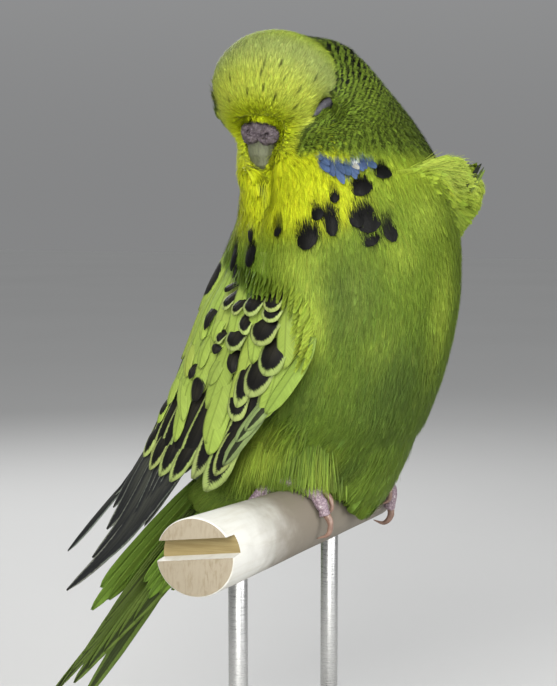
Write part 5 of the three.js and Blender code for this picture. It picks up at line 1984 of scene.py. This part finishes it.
LONG_GRAIN = (60, 700, 700)
WOODS = [
    # name, light and dark tone, stretch of the grain, roughness, depth of the grain, painted shadow tone
    ("pale wood with painted shadow", srgb(202, 201, 194), srgb(188, 184, 172), LONG_GRAIN, 0.6, 0.0001, srgb(116, 108, 95)),
    ("sawn end grain", srgb(142, 132, 113), srgb(126, 114, 92), (700, 1500, 420), 0.8, 0.0002),
    ("bare kerf wood", srgb(134, 119, 78), srgb(116, 99, 58), (160, 60, 1600), 0.75, 0.0002),
]
SIDE_WOOD, END_WOOD, KERF_WOOD = 0, 1, 2
perch.data.materials.clear()
for values in WOODS:
    perch.data.materials.append(wood(*values))
for face in perch.data.polygons:
    centre = face.center / MM
    off_axis = math.hypot(centre.y - PERCH_Y, centre.z - PERCH_Z)
    near_end = centre.x < PERCH_NEAR + KERF_DEEP + 2.5
    on_side = off_axis > perch_radius(centre.x) - 0.7 and abs(face.normal.x) < 0.8
    end_plane = PERCH_NEAR + PERCH_SKEW * (PERCH_Y - centre.y)
    if centre.x < end_plane + 0.06 or centre.x > PERCH_FAR - 0.06:
        face.material_index, face.use_smooth = END_WOOD, False
    elif near_end and not on_side:
        face.material_index, face.use_smooth = (SIDE_WOOD if face.normal.z > 0.7 else KERF_WOOD), False
perch.data.set_sharp_from_angle(angle=math.radians(24))
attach(perch, "root")
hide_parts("perch")
print("perch woods:", len(perch.data.materials))

# %% [markdown]
# Feet: two toes reach forward and two back, as in every parrot. A toe is a row of rings round a
# curved line, swollen at its joints and ridged where the scales cross it. The rings are bridged, all
# toes of a foot are wrapped in one fine net, and the claws stay separate horns.

# %% Feet
FOOT_OUT = {RIGHT: 19.0, LEFT: 17.4}
TOE_RADIUS = 1.72
TOES = (
    # spread along the perch, then how far round the perch the toe starts and ends, in degrees
    (-2.4, 20, 44), (0.6, 20, 76), (-2.6, -20, -78), (3.4, -20, -90),
)
REACH = {RIGHT: 1.0, LEFT: 1.45}  # the toes of the left foot reach further round the perch
SCUTES = 13  # scales across each toe
TOE_RINGS, CLAW_RINGS, SHANK_RINGS = 40, 22, 18
TOE_SIDES, CLAW_SIDES = 20, 14
FOOT_VOXEL = 0.24


def round_perch(x, degrees, lift):
    angle = math.radians(degrees)
    radius = perch_radius(x) + lift
    return Vector((x, PERCH_Y - radius * math.sin(angle), PERCH_Z + radius * math.cos(angle)))


def rings(bm, line, radii, sides, flat=1.0):
    """Circles of the given radii across a line, bridged into a closed tube."""
    line = [Vector(p) for p in line]
    loops = []
    for i, (place, radius) in enumerate(zip(line, radii)):
        ahead = (line[min(i + 1, len(line) - 1)] - line[max(i - 1, 0)]).normalized()
        turn = ahead.to_track_quat("Z", "Y").to_matrix().to_4x4()
        matrix = Matrix.Translation(place * MM) @ turn @ Matrix.Diagonal((flat, 1, 1, 1))
        end = i in (0, len(line) - 1)
        made = bmesh.ops.create_circle(bm, cap_ends=end, segments=sides, radius=radius * MM, matrix=matrix)
        loops.append([v for v in made["verts"] if len(v.link_edges) <= 3][-sides:] if end else made["verts"])
    for a, b in zip(loops, loops[1:]):
        ring_a = {e for v in a for e in v.link_edges if e.other_vert(v) in a}
        ring_b = {e for v in b for e in v.link_edges if e.other_vert(v) in b}
        bmesh.ops.bridge_loops(bm, edges=list(ring_a | ring_b))


def smooth_line(points, count):
    return [Vector(p) for p in curve_at(np.array([tuple(p) for p in points]), np.linspace(0, 1, count))]


def toe_line(side, spread, start, end):
    lift = TOE_RADIUS + 0.3
    points = []
    for t in np.linspace(0, 1, 6):
        x = side * (FOOT_OUT[side] + spread * float(ease(t, 0, 0.7)))
        points.append(round_perch(x, mix(start, end * REACH[side], t), lift - 0.25 * t))
    return points


def foot(side, name, node):
    bm = bmesh.new()
    x = side * FOOT_OUT[side]
    top = PERCH_Z + perch_radius(x)
    for spread, start, end in TOES:
        line = smooth_line(toe_line(side, spread, start, end), TOE_RINGS)
        share = np.linspace(0, 1, TOE_RINGS)
        joints = 0.09 * np.cos(share * 2 * math.pi * 3)
        scales = 0.035 * np.abs(np.sin(share * math.pi * SCUTES))
        radii = TOE_RADIUS * (mix(1.12, 0.74, share) + (joints + scales) * 0.8)
        rings(bm, line, radii, TOE_SIDES)
    shank = [
        (x, PERCH_Y, top + 1.6), (x - side * 0.8, PERCH_Y + 2.5, top + 7),
        (x - side * 2, PERCH_Y + 5.5, top + 13),
    ]
    shank_radii = [2.3 + 0.08 * math.cos(i * 2.1) for i in range(SHANK_RINGS)]
    rings(bm, smooth_line(shank, SHANK_RINGS), shank_radii, TOE_SIDES)
    palm = Matrix.Translation(Vector((x, PERCH_Y, top + 2.5)) * MM) @ Matrix.Diagonal((4.2, 4.4, 2.1, 1))
    bmesh.ops.create_icosphere(bm, subdivisions=4, radius=MM, matrix=palm)
    bmesh.ops.recalc_face_normals(bm, faces=bm.faces)
    made = smoothed(remeshed(new_object(name, bm), FOOT_VOXEL), 1)
    points = coordinates(made.data)
    set_coordinates(made.data, crusted(points, normals(made.data), 0.7, 0.16, 2.0))
    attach(made, "root")
    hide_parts(node)
    return made


def claws(side, name):
    bm = bmesh.new()
    for spread, _, end in TOES:
        forward = math.copysign(1, end)
        tip_x = side * (FOOT_OUT[side] + spread)
        toe_end = end * REACH[side]
        line = [
            round_perch(tip_x, toe_end - 10 * forward, 1.6),
            round_perch(tip_x, toe_end + 9 * forward, 2.9),
            round_perch(tip_x - 0.4, toe_end + 25 * forward, 2.7),
            round_perch(tip_x - 1.2, toe_end + 36 * forward, 0.5),
        ]
        share = np.linspace(0, 1, CLAW_RINGS)
        rings(bm, smooth_line(line, CLAW_RINGS), (1 - share**1.6) * 0.92 + 0.1, CLAW_SIDES, 0.8)
    bmesh.ops.recalc_face_normals(bm, faces=bm.faces)
    made = new_object(name, bm)
    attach(made, "root")
    return made


# %% [markdown]
# Skin of small scales: a Voronoi pattern gives each scale its cell, and the seams between the cells
# are darker and lie deeper. Flakes of dry skin lighten it in places. The claws are smooth horn.

# %% Foot finish
scale_finish, scale_tree, scale_shader = material("scaly foot skin", 0.55)
scale_place = place_node(scale_tree)
cells = scale_tree.nodes.new("ShaderNodeTexVoronoi")
cells.feature = "DISTANCE_TO_EDGE"
cells.inputs["Scale"].default_value = 1500
feed(cells.inputs["Vector"], scale_place)
seam = step_node(cells.outputs["Distance"], 0.0, 0.16)
foot_clouds = noise_node(scale_place, 420, 3)
flesh_colour = mix_node(foot_clouds, srgb(128, 106, 116), srgb(146, 132, 136))
scale_colour = mix_node(seam, srgb(98, 80, 90), flesh_colour)
dust = noise_node(scale_place, 900, 4)
scale_colour = mix_node(step_node(dust, 0.55, 0.72, 0.0, 0.7), scale_colour, srgb(198, 192, 190))
feed(scale_shader.inputs["Base Color"], scale_colour)
feed(scale_shader.inputs["Normal"], bump_node(seam, 0.4, 0.0001))

claw_finish, claw_tree, claw_shader = material("claw horn", 0.35, Coat_Weight=0.2)
claw_grain = noise_node(place_node(claw_tree), 900, 3)
claw_colour = mix_node(claw_grain, srgb(92, 68, 58), srgb(140, 112, 96))
feed(claw_shader.inputs["Base Color"], claw_colour)
feed(claw_shader.inputs["Normal"], bump_node(claw_grain, 0.2, 0.00005))
for side, hand in ((RIGHT, "right"), (LEFT, "left")):
    foot(side, f"foot_skin_{hand}", f"foot_{hand}").data.materials.append(scale_finish)
    claws(side, f"claws_{hand}").data.materials.append(claw_finish)

# %% [markdown]
# The display stand is plain museum work: a turned base in dark lacquered wood and two steel rods that
# enter the perch from below.

# %% Stand
STAND_RADIUS, STAND_HEIGHT = 52.0, 8.0
ROD_RADIUS, ROD_ROUND = 2.2, 0.2
ROD_PLACES = (("stand_rod_right", -44.0), ("stand_rod_left", 0.0))

profile = [
    # how far inside the rim, and how high
    (STAND_RADIUS, 0), (1.6, 0), (0.6, 0.3), (0, 1.4), (0, 4.6), (0.4, 5.8), (1.5, 7.1), (3.2, 7.8),
    (4.4, STAND_HEIGHT), (STAND_RADIUS, STAND_HEIGHT),
]
turned = bmesh.new()
outline = [turned.verts.new(Vector((STAND_RADIUS - inside, 0, z)) * MM) for inside, z in profile]
edges = [turned.edges.new(pair) for pair in zip(outline, outline[1:])]
full_turn = {"cent": (0, 0, 0), "axis": (0, 0, 1), "angle": math.tau, "steps": 128}
bmesh.ops.spin(turned, geom=outline + edges, use_merge=True, **full_turn)
bmesh.ops.remove_doubles(turned, verts=turned.verts, dist=1e-6)
bmesh.ops.recalc_face_normals(turned, faces=turned.faces)
base = new_object("stand_base_turned", turned)
dark_wood = wood("dark lacquered wood", srgb(58, 44, 36), srgb(30, 22, 18), LONG_GRAIN, 0.32, 0.00005)
base.data.materials.append(dark_wood)
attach(base, "root")
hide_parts("stand_base")

steel, steel_tree, steel_shader = material("brushed steel", 0.3, Metallic=1.0)
brush_place = vector_node("MULTIPLY", place_node(steel_tree), (300, 300, 9000))
brush = noise_node(brush_place, 1.0, 3)
feed(steel_shader.inputs["Base Color"], mix_node(brush, (0.42, 0.42, 0.41), (0.6, 0.6, 0.59)))
feed(steel_shader.inputs["Roughness"], step_node(brush, 0.3, 0.7, 0.24, 0.4))
feed(steel_shader.inputs["Normal"], bump_node(brush, 0.15, 0.00003))
for node, x in ROD_PLACES:
    low, high = (corner[2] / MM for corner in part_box(node))
    rod = bmesh.new()
    upright = Matrix.Translation(Vector((x, PERCH_Y, (low + high) / 2)) * MM)
    bmesh.ops.create_cone(
        rod, cap_ends=True, segments=64, radius1=ROD_RADIUS * MM, radius2=ROD_RADIUS * MM,
        depth=(high - low) * MM, matrix=upright,
    )
    caps = [e for e in rod.edges if any(len(f.verts) > 4 for f in e.link_faces)]
    rounding = {"offset": ROD_ROUND * MM, "segments": 2, "profile": 0.5, "affect": "EDGES"}
    bmesh.ops.bevel(rod, geom=caps, material=-1, **rounding)
    made = new_object(node + "_steel", rod)
    made.data.materials.append(steel)
    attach(made, "root")
    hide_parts(node)
print("stand: base and", len(ROD_PLACES), "rods")
